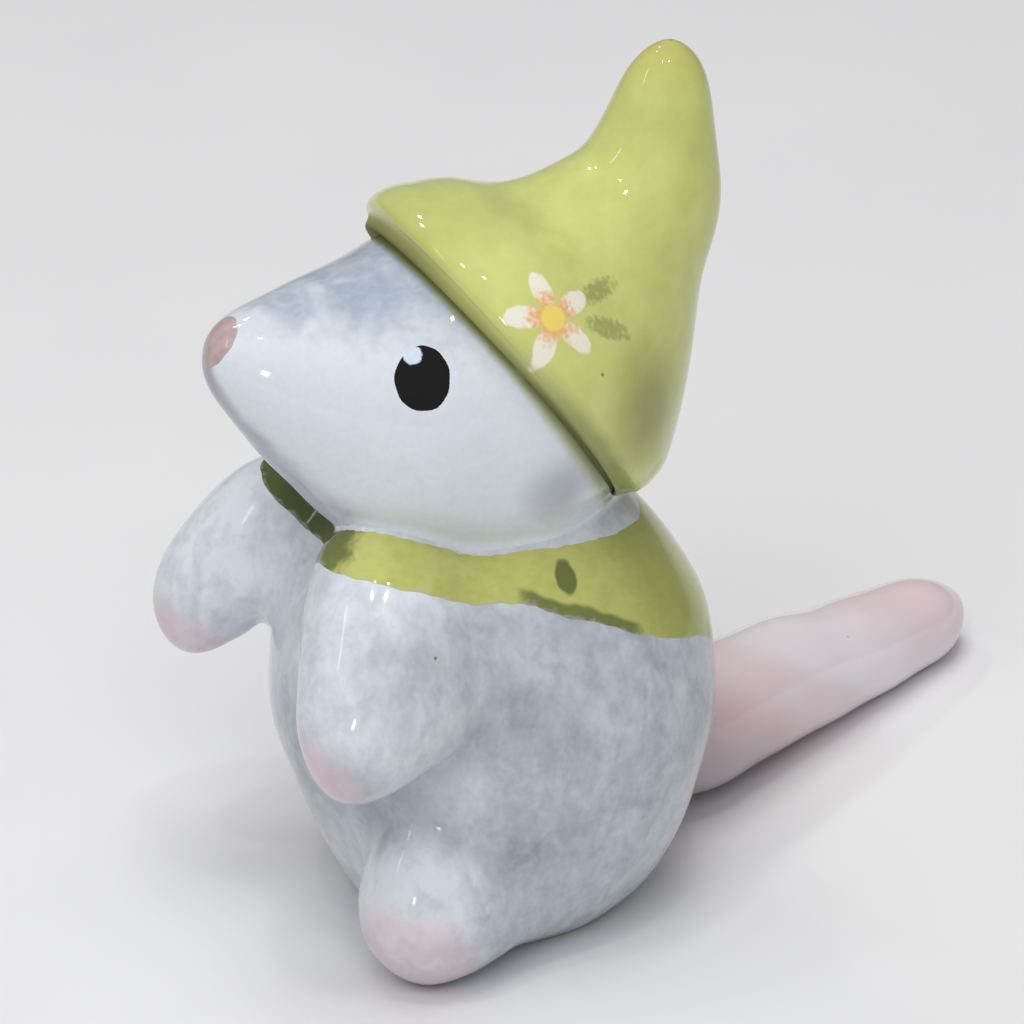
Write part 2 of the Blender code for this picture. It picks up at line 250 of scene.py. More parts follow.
class Bench:
    """The nodes of one material, and short ways to add them."""

    def __init__(self, name: str) -> None:
        """Start a material with a Principled shader."""
        self.material = bpy.data.materials.new(name)
        self.material.use_nodes = True
        self.tree = self.material.node_tree
        self.shader = self.tree.nodes["Principled BSDF"]

    def node(
        self,
        kind: str,
        settings: Optional[Dict[str, object]] = None,
        inputs: Optional[Dict[Union[str, int], object]] = None,
    ) -> bpy.types.Node:
        """Add a node.

        Args:
            kind: Blender's name of the node's type.
            settings: its properties, set before anything is joined to it.
            inputs: values or readings for its sockets, by name or place.

        Returns:
            The node.
        """
        node = self.tree.nodes.new(kind)
        for key, value in (settings or {}).items():
            setattr(node, key, value)
        for key, value in (inputs or {}).items():
            self.feed(node.inputs[key], value)
        return node

    def feed(self, socket: bpy.types.NodeSocket, value: object) -> None:
        """Join a reading to a socket, or set a plain value on it."""
        if isinstance(value, Reading):
            self.tree.links.new(value.socket, socket)
        else:
            socket.default_value = value

    def math(self, operation: str, *terms: Term) -> Reading:
        """Math node on one or two terms."""
        node = self.node("ShaderNodeMath", {"operation": operation}, dict(enumerate(terms)))
        return Reading(self, node.outputs[0])

    def vector(self, operation: str, first: object, second: object) -> Reading:
        """Vector Math node whose result is a vector."""
        node = self.node("ShaderNodeVectorMath", {"operation": operation}, {0: first, 1: second})
        return Reading(self, node.outputs["Vector"])

    def measure(self, operation: str, first: object, second: object) -> Reading:
        """Vector Math node whose result is a number, such as a distance or a dot product."""
        node = self.node("ShaderNodeVectorMath", {"operation": operation}, {0: first, 1: second})
        return Reading(self, node.outputs["Value"])

    def place(self) -> Reading:
        """Place on the object in millimetres."""
        node = self.node("ShaderNodeTexCoord")
        return self.vector("MULTIPLY", Reading(self, node.outputs["Object"]), (1 / MM,) * 3)

    def part_of(self, place: Reading, axis: int) -> Reading:
        """One coordinate of a place: 0, 1 or 2 for x, y or z."""
        node = self.node("ShaderNodeSeparateXYZ", None, {0: place})
        return Reading(self, node.outputs[axis])

    def mirrored(self, place: Reading) -> Reading:
        """The place with every coordinate above zero, so that both sides of the head read alike."""
        node = self.node("ShaderNodeVectorMath", {"operation": "ABSOLUTE"}, {0: place})
        return Reading(self, node.outputs["Vector"])

    def mark(self, name: str) -> Reading:
        """Number kept on the mesh's points under a name."""
        node = self.node("ShaderNodeAttribute", {"attribute_name": name})
        return Reading(self, node.outputs["Fac"])

    def cloud(self, place: Reading, size: float, detail: float = 2.0, twist: float = 0.0) -> Reading:
        """Noise of about 0 to 1.

        Args:
            place: where it is read.
            size: how far apart its patches lie, in millimetres.
            detail: how many finer layers it has.
            twist: how much its patches are pulled about.

        Returns:
            The noise.
        """
        inputs = {"Vector": place, "Scale": 1 / size, "Detail": detail, "Distortion": twist}
        node = self.node("ShaderNodeTexNoise", None, inputs)
        return Reading(self, node.outputs["Fac"])

    def sway(self, place: Reading, size: float, detail: float = 2.0, twist: float = 0.0) -> Reading:
        """The same noise about zero, from about -0.5 to 0.5."""
        return self.cloud(place, size, detail, twist) - 0.5

    def specks(self, place: Reading, spacing: float, radius: float, share: float) -> Reading:
        """Small round spots, one in some of the cells of a random net.

        Args:
            place: where they are read.
            spacing: size of a cell, in millimetres.
            radius: size of a spot, in millimetres.
            share: share of the cells that have one.

        Returns:
            One in a spot, else zero.
        """
        node = self.node("ShaderNodeTexVoronoi", None, {"Vector": place, "Scale": 1 / spacing})
        split = self.node("ShaderNodeSeparateColor", None, {0: Reading(self, node.outputs["Color"])})
        chosen = Reading(self, split.outputs[0]).fade(1 - share, 1 - share + 0.02)
        size = Reading(self, split.outputs[1]) * 0.6 + 0.4
        away = Reading(self, node.outputs["Distance"]) * spacing / size
        return away.fade(radius, radius * 0.45) * chosen

    def mix(self, share: Term, first: object, second: object) -> Reading:
        """Colour between two others: the first where the share is 0, the second where it is 1."""
        inputs = {0: share, 6: first, 7: second}
        node = self.node("ShaderNodeMix", {"data_type": "RGBA"}, inputs)
        return Reading(self, node.outputs[2])


@dataclass(frozen=True)
class ClearGlaze:
    """The clear gloss glaze over every colour.

    Attributes:
        smooth: roughness where the glaze ran thick.
        dull: roughness where it is thin.
        unglazed: roughness where there is none.
        ripple: height of its slow waves, in millimetres.
        peel: height of its fine orange peel, in millimetres.
        pool: how far apart its thick places lie, in millimetres.
        wave: how far apart its slow waves lie, in millimetres.
        pore: how far apart the dimples of the peel lie, in millimetres.
        index: how strongly it bends light.
    """

    smooth: float = 0.05
    dull: float = 0.13
    unglazed: float = 0.95
    ripple: float = 0.018
    peel: float = 0.0006
    pool: float = 3.0
    wave: float = 5.0
    pore: float = 0.5
    index: float = 1.52

    def fire(self, bench: Bench, place: Reading, colour: Reading,
             bare: Optional[Reading] = None) -> bpy.types.Material:
        """Join colour, gloss and ripples to the shader.

        Args:
            bench: nodes of the material.
            place: place on the object.
            colour: colour under the glaze.
            bare: one where the clay has no glaze.

        Returns:
            The finished material.
        """
        thick = bench.cloud(place, self.pool, 3.0)
        rough = self.smooth + thick * (self.dull - self.smooth)
        if bare is not None:
            rough = rough + bare * (self.unglazed - rough)
        waves = bench.cloud(place, self.wave, 1.0) * self.ripple
        waves = waves + bench.cloud(place, self.pore, 1.0) * self.peel
        inputs = {"Strength": 1.0, "Distance": MM, "Height": waves}
        bump = bench.node("ShaderNodeBump", None, inputs)
        bench.feed(bench.shader.inputs["Base Color"], colour)
        bench.feed(bench.shader.inputs["Roughness"], rough)
        bench.feed(bench.shader.inputs["Normal"], Reading(bench, bump.outputs["Normal"]))
        bench.shader.inputs["IOR"].default_value = self.index
        return bench.material


@dataclass(frozen=True)
class GreyWash:
    """White slip with a sponged grey wash, the same on body, arms and legs, so no seam shows.

    Attributes:
        name: name of the material.
        tips: centre, radius and strength of each pink dab.
        pools_and_painted_shade: centre, radius and share of each place with more wash, partly
            gathered in the creases and partly painted shade under the arms, on the belly and at the
            back; a share below zero makes the wash lighter there.
        glaze: the clear glaze over it.
    """

    name: str
    tips: Tuple[Tuple[Point, float, float], ...] = (
        ((12.0, -19.4, 16.6), 5.4, 0.59),
        ((-12.6, -18.9, 16.0), 5.2, 0.59),
        ((13.6, -13.2, 2.0), 5.4, 0.55),
        ((-13.6, -5.4, 2.0), 5.4, 0.55),
        ((2.5, 16.0, 11.5), 10.4, 0.33),
    )
    pools_and_painted_shade: Tuple[Tuple[Point, float, float], ...] = (
        ((14.0, -4.8, 21.1), 3.6, 0.25),
        ((13.2, -7.6, 18.9), 3.2, 0.25),
        ((11.9, -10.0, 15.4), 3.2, 0.3),
        ((12.2, -8.6, 11.3), 2.8, 0.3),
        ((14.4, -3.4, 10.5), 4.6, 0.3),
        ((15.1, -2.0, 18.8), 4.2, 0.26),
        ((8.9, -12.2, 12.8), 4.6, 0.4),
        ((1.5, -15.0, 13.5), 10.0, 0.5),
        ((13.6, -13.6, 26.5), 4.6, 0.22),
        ((15.6, -17.5, 18.4), 3.4, 0.35),
        ((11.0, 10.5, 15.0), 5.0, 0.22),
        ((-13.0, 0.5, 12.5), 4.0, 0.25),
        ((-12.0, -8.0, 15.4), 4.0, 0.25),
        ((12.8, -11.8, 8.4), 6.4, -0.34),
        ((-12.9, -3.8, 8.4), 6.4, -0.34),
        ((-9.0, -16.5, 25.5), 5.0, -0.2),
    )
    glaze: ClearGlaze = ClearGlaze()

    def dress(self) -> bpy.types.Material:
        """Mix the wash from soft patches, short dabs and brush grain.

        Returns:
            The material.
        """
        bench = Bench(self.name)
        place = bench.place()
        height = bench.part_of(place, 2)
        patches = bench.sway(place, 4.5, 2.0, 0.6)
        dabs = bench.sway(bench.vector("MULTIPLY", place, (1.0, 1.0, 0.7)), 1.5, 3.0, 0.6)
        grain = bench.sway(place, 0.45, 2.0)
        behind = (bench.part_of(place, 1) + patches * 7.0).fade(-14.0, -4.0)
        neck = (height + patches * 2.0).fade(26.5, 29.5)
        amount = (0.24 + behind * 0.32) * (1 - neck * 0.7)
        # Painted shade: more wash under the arms, on the belly and at the back stands for shade there;
        # the rest is wash gathered in the creases.
        for centre, radius, share in self.pools_and_painted_shade:
            away = bench.measure("DISTANCE", place, centre) + dabs * 2.0
            amount = amount + away.fade(radius, radius * 0.2) * share
        amount = amount + patches * 0.45 + dabs * 0.9 + grain * 0.3
        colour = bench.mix(amount.clamp(), WHITE_SLIP, GREY_WASH)
        for centre, radius, strength in self.tips:
            away = bench.measure("DISTANCE", place, centre) + patches * 2.4 + dabs * 1.6
            blush = away.fade(radius * 1.18, radius * 0.76) * (strength + dabs * 0.5)
            colour = bench.mix(blush.clamp(), colour, PINK_SLIP)
        specks = bench.specks(place, 5.0, 0.22, 0.25)
        colour = bench.mix(specks * 0.8, colour, SPECK_BROWN)
        bare = height.fade(*FOOT_LINE)
        colour = bench.mix(bare, colour, BARE_CLAY)
        return self.glaze.fire(bench, place, colour, bare)


@dataclass(frozen=True)
class FaceWash:
    """White face, washed blue-grey on the crown, with painted shade at chin and nape and green along
    the brim.

    Attributes:
        name: name of the material.
        brim: a point of the plane in which the hat meets the head.
        ahead: direction square to that plane, towards the hat's point.
        nape: middle of the painted shade on the left, between cheek and hat.
        glaze: the clear glaze over it.
    """

    name: str
    brim: Point
    ahead: Point
    nape: Point = (11.2, 0.0, 35.1)
    glaze: ClearGlaze = ClearGlaze(smooth=0.04, dull=0.1)

    def dress(self) -> bpy.types.Material:
        """Brush the wash over the crown by the mark that says how far up the head a point lies.

        Returns:
            The material.
        """
        bench = Bench(self.name)
        place = bench.place()
        crown = bench.mark("crown")
        beyond = bench.measure("DOT_PRODUCT", bench.vector("SUBTRACT", place, self.brim), self.ahead)
        patches = bench.sway(place, 3.0, 2.0, 0.8)
        dabs = bench.sway(place, 1.0, 3.0, 0.8)
        grain = bench.sway(place, 0.4, 2.0)
        brow = crown.fade(0.2, 1.0) * (beyond + patches * 6.0).fade(-16.0, -3.0)
        wash = (brow + patches + dabs * 0.4).fade(0.1, 1.3)
        amount = 0.06 + wash * 0.75 + crown.fade(0.5, 1.0) * 0.14
        amount = amount + dabs * 0.2 + grain * 0.16
        colour = bench.mix(amount.clamp(), WHITE_SLIP, CROWN_BLUE)
        # Painted shade: grey under the jaw at the front, and in the gap between cheek and hat.
        chin = (patches * 0.2 - crown).fade(0.68, 0.96) * beyond.fade(-6.0, -12.0)
        nape = bench.measure("DISTANCE", bench.mirrored(place), self.nape).fade(3.8, 0.6)
        colour = bench.mix((chin * 0.75 + nape * 0.5).clamp(), colour, PAINTED_SHADE_GREY)
        low = crown.fade(0.7, -0.5)
        line = (beyond + patches * 0.3) / (0.8 + low * 0.8)
        colour = bench.mix(line.fade(-1.15, -0.4) * 0.9, colour, BRIM_GREEN)
        # Darker green at the crease, more so low on the head: partly the hat's own green, partly
        # painted shade under the lip.
        colour = bench.mix(line.fade(-0.7, -0.2) * (0.3 + low * 0.5), colour, DARK_GREEN)
        specks = bench.specks(place, 6.0, 0.16, 0.3)
        colour = bench.mix(specks * 0.5, colour, SPECK_BROWN)
        return self.glaze.fire(bench, place, colour)


@dataclass(frozen=True)
class Blossom:
    """A plain five-petalled blossom with two leaves, brushed on the hat.

    Attributes:
        centre: its middle on the hat, in millimetres.
        right: direction across it, in the hat's surface.
        up: direction up it, in the hat's surface.
        petals: how many petals it has.
        start: direction of the first petal, in degrees.
        reach: how far the middle of a petal lies from the centre.
        petal: half-length and half-width of a petal.
        leaves: direction of each leaf, in degrees, and how far its middle lies from the centre.
        leaf: half-length and half-width of a leaf.
    """

    centre: Point
    right: Point
    up: Point
    petals: int = 5
    start: float = 18.0
    reach: float = 1.95
    petal: Tuple[float, float] = (1.5, 0.8)
    leaves: Tuple[Tuple[float, float], ...] = ((14.0, 4.7), (-20.0, 4.5))
    leaf: Tuple[float, float] = (1.9, 0.75)

    def stroke(self, flat: Tuple[Reading, Reading], turn: float, middle: float,
               half: Tuple[float, float]) -> Tuple[Reading, Reading]:
        """Oval brush stroke that points away from the centre.

        Args:
            flat: place across and up the blossom.
            turn: direction of the stroke, in degrees.
            middle: distance of its middle from the centre.
            half: half-length and half-width.

        Returns:
            How far out of the oval a place lies, 1 on its edge, and the place along the stroke.
        """
        cosine, sine = math.cos(math.radians(turn)), math.sin(math.radians(turn))
        along = flat[0] * cosine + flat[1] * sine
        aside = flat[1] * cosine - flat[0] * sine
        oval = ((along - middle) / half[0]) ** 2.0 + (abs(aside) / half[1]) ** 2.0
        return oval, along

    def brush(self, bench: Bench, place: Reading, colour: Reading) -> Reading:
        """Lay leaves, petals and the centre over a colour.

        Args:
            bench: nodes of the material.
            place: place on the object.
            colour: colour that is painted over.

        Returns:
            The colour with the blossom.
        """
        offset = bench.vector("SUBTRACT", place, self.centre)
        ragged = bench.sway(place, 0.7, 3.0)
        streaks = bench.sway(place, 0.35, 2.0)
        flat = (
            bench.measure("DOT_PRODUCT", offset, self.right) + ragged * 0.25,
            bench.measure("DOT_PRODUCT", offset, self.up) + ragged * 0.25,
        )
        near = bench.measure("LENGTH", offset, (0.0, 0.0, 0.0)).fade(9.0, 8.0)
        for turn, middle in self.leaves:
            oval, _ = self.stroke(flat, turn, middle, self.leaf)
            leaf = (oval + streaks * 2.4 + ragged).fade(1.5, 0.1) * near * 0.45
            colour = bench.mix(leaf.clamp(), colour, DARK_GREEN)
        for number in range(self.petals):
            turn = self.start + number * 360.0 / self.petals
            oval, along = self.stroke(flat, turn, self.reach, self.petal)
            shape = (oval + streaks * 0.5).fade(1.12, 0.72) * near
            blush = (along + streaks * 1.8 + ragged * 2.0).fade(2.3, 0.9) * 0.85
            petal = bench.mix(blush, PETAL_WHITE, PETAL_ORANGE)
            colour = bench.mix(shape * 0.93, colour, petal)
        middle = (flat[0] ** 2.0 + flat[1] ** 2.0 + streaks * 0.5).fade(0.95, 0.55) * near
        return bench.mix(middle, colour, PETAL_YELLOW)


@dataclass(frozen=True)
class HatGreen:
    """Yellow-green hat, yellow over the lip, olive on the front, with painted shade on the side and the
    matt tuck.

    Attributes:
        name: name of the material.
        blossom: the flower brushed on it.
        side: middle of the olive patch of painted shade on the left side.
        front: middle of the olive patch over the brow.
        glaze: the clear glaze over it.
    """

    name: str
    blossom: Blossom
    side: Point = (11.0, 7.0, 40.0)
    front: Point = (2.0, -6.0, 52.5)
    glaze: ClearGlaze = ClearGlaze(smooth=0.035, dull=0.09)

    def dress(self) -> bpy.types.Material:
        """Mix the greens by slow patches and by the mark that says how far up the hat a point lies.

        Returns:
            The material.
        """
        bench = Bench(self.name)
        place = bench.place()
        rise = bench.mark("rise")
        height = bench.part_of(place, 2)
        patches = bench.sway(place, 6.0, 2.0, 0.4)
        dabs = bench.sway(place, 1.6, 3.0)
        grain = bench.sway(place, 0.5, 2.0)
        amount = (patches + 0.18) * 0.7 + dabs * 0.35 + grain * 0.12
        colour = bench.mix(amount.clamp(), LEAF_GREEN, OLIVE_GREEN)
        under = height.fade(50.0, 39.0)
        thin = (rise + dabs * 0.8).fade(1.8, 0.5) * (1 - under)
        colour = bench.mix(thin * 0.3, colour, LIP_YELLOW)
        point = (rise + dabs * 2.0).fade(22.0, 27.0)
        colour = bench.mix(point * 0.8, colour, POINT_OCHRE)
        # Painted shade: an olive patch low on the left side, behind.
        side = bench.measure("DISTANCE", place, self.side) + patches * 3.0
        colour = bench.mix(side.fade(6.0, 1.0) * 0.82, colour, SIDE_SHADE_OLIVE)
        front = bench.measure("DISTANCE", place, self.front) + patches * 3.0
        colour = bench.mix(front.fade(7.0, 1.5) * 0.26, colour, OLIVE_GREEN)
        # Darker lower lip: partly its own dark green, partly painted shade.
        lip = (rise + dabs * 0.8).fade(2.2, 0.7) * under
        colour = bench.mix(lip * 0.6, colour, DARK_GREEN)
        # Painted shade where the lip tucks in, with more of it at the top and at the bottom of the
        # brim; that band is also left unglazed, so matt.
        tuck = (rise + dabs * 0.1).fade(0.6, 0.2)
        shaded = height.fade(47.0, 52.0) * 0.35 + under * 0.2
        colour = bench.mix(tuck * (0.55 + shaded), colour, TUCK_SHADE_GREEN)
        colour = self.blossom.brush(bench, place, colour)
        specks = bench.specks(place, 3.2, 0.2, 0.22)
        colour = bench.mix(specks * 0.85, colour, SPECK_BROWN)
        return self.glaze.fire(bench, place, colour, tuck)


@dataclass(frozen=True)
class ScarfGreen:
    """Brushed green scarf with painted shade at the throat and behind the shoulder, a stroke on the hem
    and a leaf dab.

    Attributes:
        name: name of the material.
        dab: middle of the leaf dab on the shoulder.
        squeeze: scale of x, y and z in which the dab is round, so it is longest where this is least.
        back_shade: degrees from the front of the middle of the painted shade behind the shoulder.
        stroke: degrees from the front of the middle of the hem's stroke.
        glaze: the clear glaze over it.
    """

    name: str
    dab: Point = (10.8, 0.6, 28.5)
    squeeze: Point = (0.7, 1.0, 0.55)
    back_shade: float = 138.0
    stroke: float = 100.0
    glaze: ClearGlaze = ClearGlaze(smooth=0.05, dull=0.12)

    def dress(self) -> bpy.types.Material:
        """Mix the greens, with strokes placed by the marks of turn and of height above the hem.

        Returns:
            The material.
        """
        bench = Bench(self.name)
        place = bench.place()
        turn = bench.mark("turn")
        above = bench.mark("above_hem")
        patches = bench.sway(place, 4.0, 2.0, 0.5)
        dabs = bench.sway(place, 1.2, 3.0, 0.3)
        grain = bench.sway(bench.vector("MULTIPLY", place, (1.0, 1.0, 2.5)), 0.9, 3.0)
        amount = (patches + 0.15) * 0.75 + dabs * 0.4 + grain * 0.45
        colour = bench.mix(amount.clamp(), SCARF_LIGHT, SCARF_DEEP)
        # Painted shade on the side behind the shoulder.
        back_shade = abs(turn - self.back_shade) + grain * 20.0 + patches * 12.0
        colour = bench.mix(back_shade.fade(26.0, 4.0) * 0.48, colour, BACK_SHADE_GREEN)
        # Painted shade under the head: the middle of the front, darker still on the right.
        right = bench.part_of(place, 0).fade(1.0, -5.0)
        throat = (turn - right * 24.0).fade(42.0, 18.0) + dabs * 0.9 + patches * 0.6
        colour = bench.mix(throat.fade(0.3, 0.7) * (0.75 + right * 0.2), colour, THROAT_SHADE_GREEN)
        side = abs(turn - self.stroke) + dabs * 6.0
        hem = (above + patches * 0.8).fade(1.4, 0.9) * side.fade(21.0, 16.0)
        colour = bench.mix(hem * 0.78, colour, DARK_GREEN)
        offset = bench.vector("SUBTRACT", place, self.dab)
        squeezed = bench.vector("MULTIPLY", offset, self.squeeze)
        spot = bench.measure("LENGTH", squeezed, (0.0, 0.0, 0.0)) + dabs * 0.4
        colour = bench.mix(spot.fade(0.86, 0.64) * 0.85, colour, DARK_GREEN)
        thin = (above + grain * 1.2).fade(0.35, 0.0)
        colour = bench.mix(thin * 0.45, colour, HEM_GREY)
        specks = bench.specks(place, 3.0, 0.18, 0.25)
        colour = bench.mix(specks * 0.8, colour, SPECK_BROWN)
        return self.glaze.fire(bench, place, colour)


@dataclass(frozen=True)
class TailPink:
    """Pink tail, greyer at the root with painted shade, with a slanting white band and streaks drawn
    along it.

    Attributes:
        name: name of the material.
        along: direction of the tail.
        stretch: share of the length that the streaks leave out, so that they run along the tail.
        glaze: the clear glaze over it.
    """

    name: str
    along: Point = (-0.447, 0.892, -0.065)
    stretch: float = 0.72
    glaze: ClearGlaze = ClearGlaze(smooth=0.04, dull=0.1)

    def dress(self) -> bpy.types.Material:
        """Stretch a noise along the tail, and mix white, pink and the grey of painted shade by it and
        by a slanting length.

        Returns:
            The material.
        """
        bench = Bench(self.name)
        place = bench.place()
        length = bench.measure("DOT_PRODUCT", place, self.along)
        node = bench.node("ShaderNodeVectorMath", {"operation": "SCALE"}, {0: self.along})
        bench.feed(node.inputs["Scale"], length * -self.stretch)
        drawn = bench.vector("ADD", place, Reading(bench, node.outputs["Vector"]))
        streaks = bench.sway(drawn, 1.6, 3.0, 0.4)
        patches = bench.sway(place, 4.5, 2.0, 0.4)
        height = bench.part_of(place, 2)
        slant = length + height * 1.6 + patches * 3.0
        band = slant.fade(38.0, 42.0) * slant.fade(54.0, 44.5)
        amount = 0.85 - band * 0.7 + streaks * 0.5 + patches * 0.5
        colour = bench.mix(amount.clamp(), TAIL_WHITE, TAIL_ROSE)
        colour = bench.mix(slant.fade(37.0, 30.0) * 0.8, colour, ROOT_ROSE)
        # Painted shade at the root, where the tail meets the body.
        colour = bench.mix(slant.fade(33.0, 24.0) * 0.55, colour, ROOT_SHADE_GREY)
        bare = height.fade(*FOOT_LINE)
        colour = bench.mix(bare, colour, BARE_CLAY)
        specks = bench.specks(place, 5.0, 0.16, 0.2)
        colour = bench.mix(specks * 0.5, colour, SPECK_BROWN)
        return self.glaze.fire(bench, place, colour, bare)


@dataclass(frozen=True)
class EyeBlack:
    """Black eye with a pale painted dot high on its front.

    Attributes:
        name: name of the material.
        dot: middle of the dot on the left eye.
        radius: size of the dot.
        edge: width of the dot's soft edge.
        glaze: the clear glaze over it.
    """

    name: str
    dot: Point
    radius: float = 0.71
    edge: float = 0.14
    glaze: ClearGlaze = ClearGlaze(smooth=0.03, dull=0.08)

    def dress(self) -> bpy.types.Material:
        """Black, with a dot by the distance from its middle on either side of the head.

        Returns:
            The material.
        """
        bench = Bench(self.name)
        place = bench.place()
        middle = (self.dot[0], abs(self.dot[1]), self.dot[2])
        away = bench.measure("DISTANCE", bench.mirrored(place), middle)
        ragged = bench.sway(place, 0.5, 2.0)
        dot = (away + ragged * 0.3).fade(self.radius, self.radius - self.edge)
        black = bench.mix(bench.cloud(place, 0.3, 2.0), *EYE_BLACKS)
        pale = bench.mix(bench.cloud(place, 0.6, 2.0), *DOT_BLUES)
        return self.glaze.fire(bench, place, bench.mix(dot, black, pale))


@dataclass(frozen=True)
class NosePink:
    """Dusty pink nose, unevenly dabbed.

    Attributes:
        name: name of the material.
        glaze: the clear glaze over it.
    """

    name: str
    glaze: ClearGlaze = ClearGlaze(smooth=0.05, dull=0.12)

    def dress(self) -> bpy.types.Material:
        """Two pinks mixed by a fine noise.

        Returns:
            The material.
        """
        bench = Bench(self.name)
        place = bench.place()
        dabs = bench.cloud(place, 0.8, 3.0, 0.3)
        colour = bench.mix(dabs.fade(0.25, 0.75), *NOSE_PINKS)
        return self.glaze.fire(bench, place, colour)


@dataclass
class Roll:
    """A roll of clay: egg-shaped sections carried along a bent spine, evened out by the hand.

    Attributes:
        rows: one row a section: spine x, y, z, half-width, half-height above the spine and, where
            it differs, below it.
        ease: length over which spine and girth are evened out, in millimetres.
        firm: length at the start that is left as it was pressed.
        samples: places along the spine that are tabulated.
        guesses: how many of them are tried for the one nearest to a point.
        rounds: how often the nearest is bettered.
    """

    rows: Tuple[Row, ...]
    ease: float = 0.8
    firm: float = 0.0
    samples: int = 1500
    guesses: int = 50
    rounds: int = 3

    def __post_init__(self) -> None:
        """Draw spine and girth through the sections, even them out and tabulate them."""
        table = np.array([row if len(row) == 6 else (*row, row[-1]) for row in self.rows], float)
        table[:, 3:] **= 2
        steps = np.linalg.norm(np.diff(table[:, :3], axis=0), axis=1)
        knots = np.concatenate(([0.0], np.cumsum(steps)))
        self.length = float(knots[-1])
        self.at = np.linspace(0, self.length, self.samples)
        before = np.maximum(np.arange(len(table)) - 1, 0)
        after = np.minimum(np.arange(len(table)) + 1, len(table) - 1)
        turns = (table[after] - table[before]) / (knots[after] - knots[before])[:, None]
        rise = np.diff(table, axis=0) / steps[:, None]
        product = rise[:-1] * rise[1:]
        total = rise[:-1] + rise[1:]
        inner = np.where(product > 0, 2 * product / np.where(total == 0, 1, total), 0)
        swell = np.concatenate((rise[:1], inner, rise[-1:]))
        slopes = np.concatenate((turns[:, :3], swell[:, 3:]), axis=1)
        drawn = self.evened(self.cubic(knots, table, slopes))
        step = self.at[1]
        self.centre = drawn[:, :3]
        self.girth = np.maximum(drawn[:, 3:], 0)
        self.growth = np.gradient(self.girth, step, axis=0)
        self.speed = np.gradient(self.centre, step, axis=0)
        self.bend = np.gradient(self.speed, step, axis=0)
        ahead = unit(self.speed)
        across = unit(np.array((1.0, 0.0, 0.0)) - ahead * ahead[:, :1])
        upward = np.cross(ahead, across)
        upward = upward * np.where(upward[:, 2:] < -1e-6, -1, 1)
        self.ahead, self.across, self.upward = ahead, across, upward

    def cubic(self, knots: np.ndarray, values: np.ndarray, slopes: np.ndarray) -> np.ndarray:
        """Cubic through rows of values with given slopes, at the tabulated places.

        Args:
            knots: length along the spine at each row.
            values: the rows.
            slopes: their slopes.

        Returns:
            The values at those places.
        """
        span = np.clip(np.searchsorted(knots, self.at) - 1, 0, len(knots) - 2)
        width = (knots[span + 1] - knots[span])[:, None]
        t = (self.at - knots[span])[:, None] / width
        rise = t * t * (3 - 2 * t)
        bend = slopes[span] * t * (1 - t) ** 2 - slopes[span + 1] * t * t * (1 - t)
        return values[span] * (1 - rise) + values[span + 1] * rise + width * bend

    def evened(self, drawn: np.ndarray) -> np.ndarray:
        """Average along the spine under a bell curve; past each end the rows run on, turned about it.

        Args:
            drawn: rows at the tabulated places.

        Returns:
            The evened rows.
        """
        step = self.at[1]
        reach = int(3 * self.ease / step)
        bell = np.exp(-0.5 * (np.arange(-reach, reach + 1) * step / self.ease) ** 2)
        before = 2 * drawn[0] - drawn[reach:0:-1]
        after = 2 * drawn[-1] - drawn[-2:-reach - 2:-1]
        longer = np.concatenate((before, drawn, after))
        even = [np.convolve(column, bell / bell.sum(), "valid") for column in longer.T]
        share = np.clip((self.at - self.firm) / max(self.firm, TINY), 0, 1)[:, None]
        return drawn + (np.stack(even, axis=1) - drawn) * share

    def ring_places(self, count: int) -> np.ndarray:
        """Places along the spine that crowd towards both ends."""
        return self.length * crowded(count)

    def read(self, at: np.ndarray, *tables: np.ndarray) -> List[np.ndarray]:
        """Values of tables at places along the spine, between their samples."""
        place = np.clip(at / self.length, 0, 1) * (self.samples - 1)
        first = np.minimum(place.astype(int), self.samples - 2)
        share = (place - first)[..., None]
        return [table[first] * (1 - share) + table[first + 1] * share for table in tables]

    def surface(self, at: np.ndarray, turn: np.ndarray) -> np.ndarray:
        """Point of the egg at each place: centre + across * wide * cos + upward * tall * sin.

        Args:
            at: places along the spine.
            turn: angles round it, from the possum's left.

        Returns:
            The points.
        """
        centre, across, upward, girth = self.read(at, self.centre, self.across, self.upward, self.girth)
        wide, tall, drop = np.moveaxis(np.sqrt(girth), -1, 0)
        lift = np.where(np.sin(turn) > 0, tall, drop) * np.sin(turn)
        return centre + across * (wide * np.cos(turn))[..., None] + upward * lift[..., None]

    def grid(self, rings: int, sides: int) -> Tuple[np.ndarray, np.ndarray, np.ndarray]:
        """Points over the whole roll.

        Args:
            rings: steps along it.
            sides: steps round it.

        Returns:
            Points, their places along the spine and their angles round it.
        """
        at, turn = np.meshgrid(self.ring_places(rings), turns_round(sides), indexing="ij")
        return self.surface(at, turn), at, turn

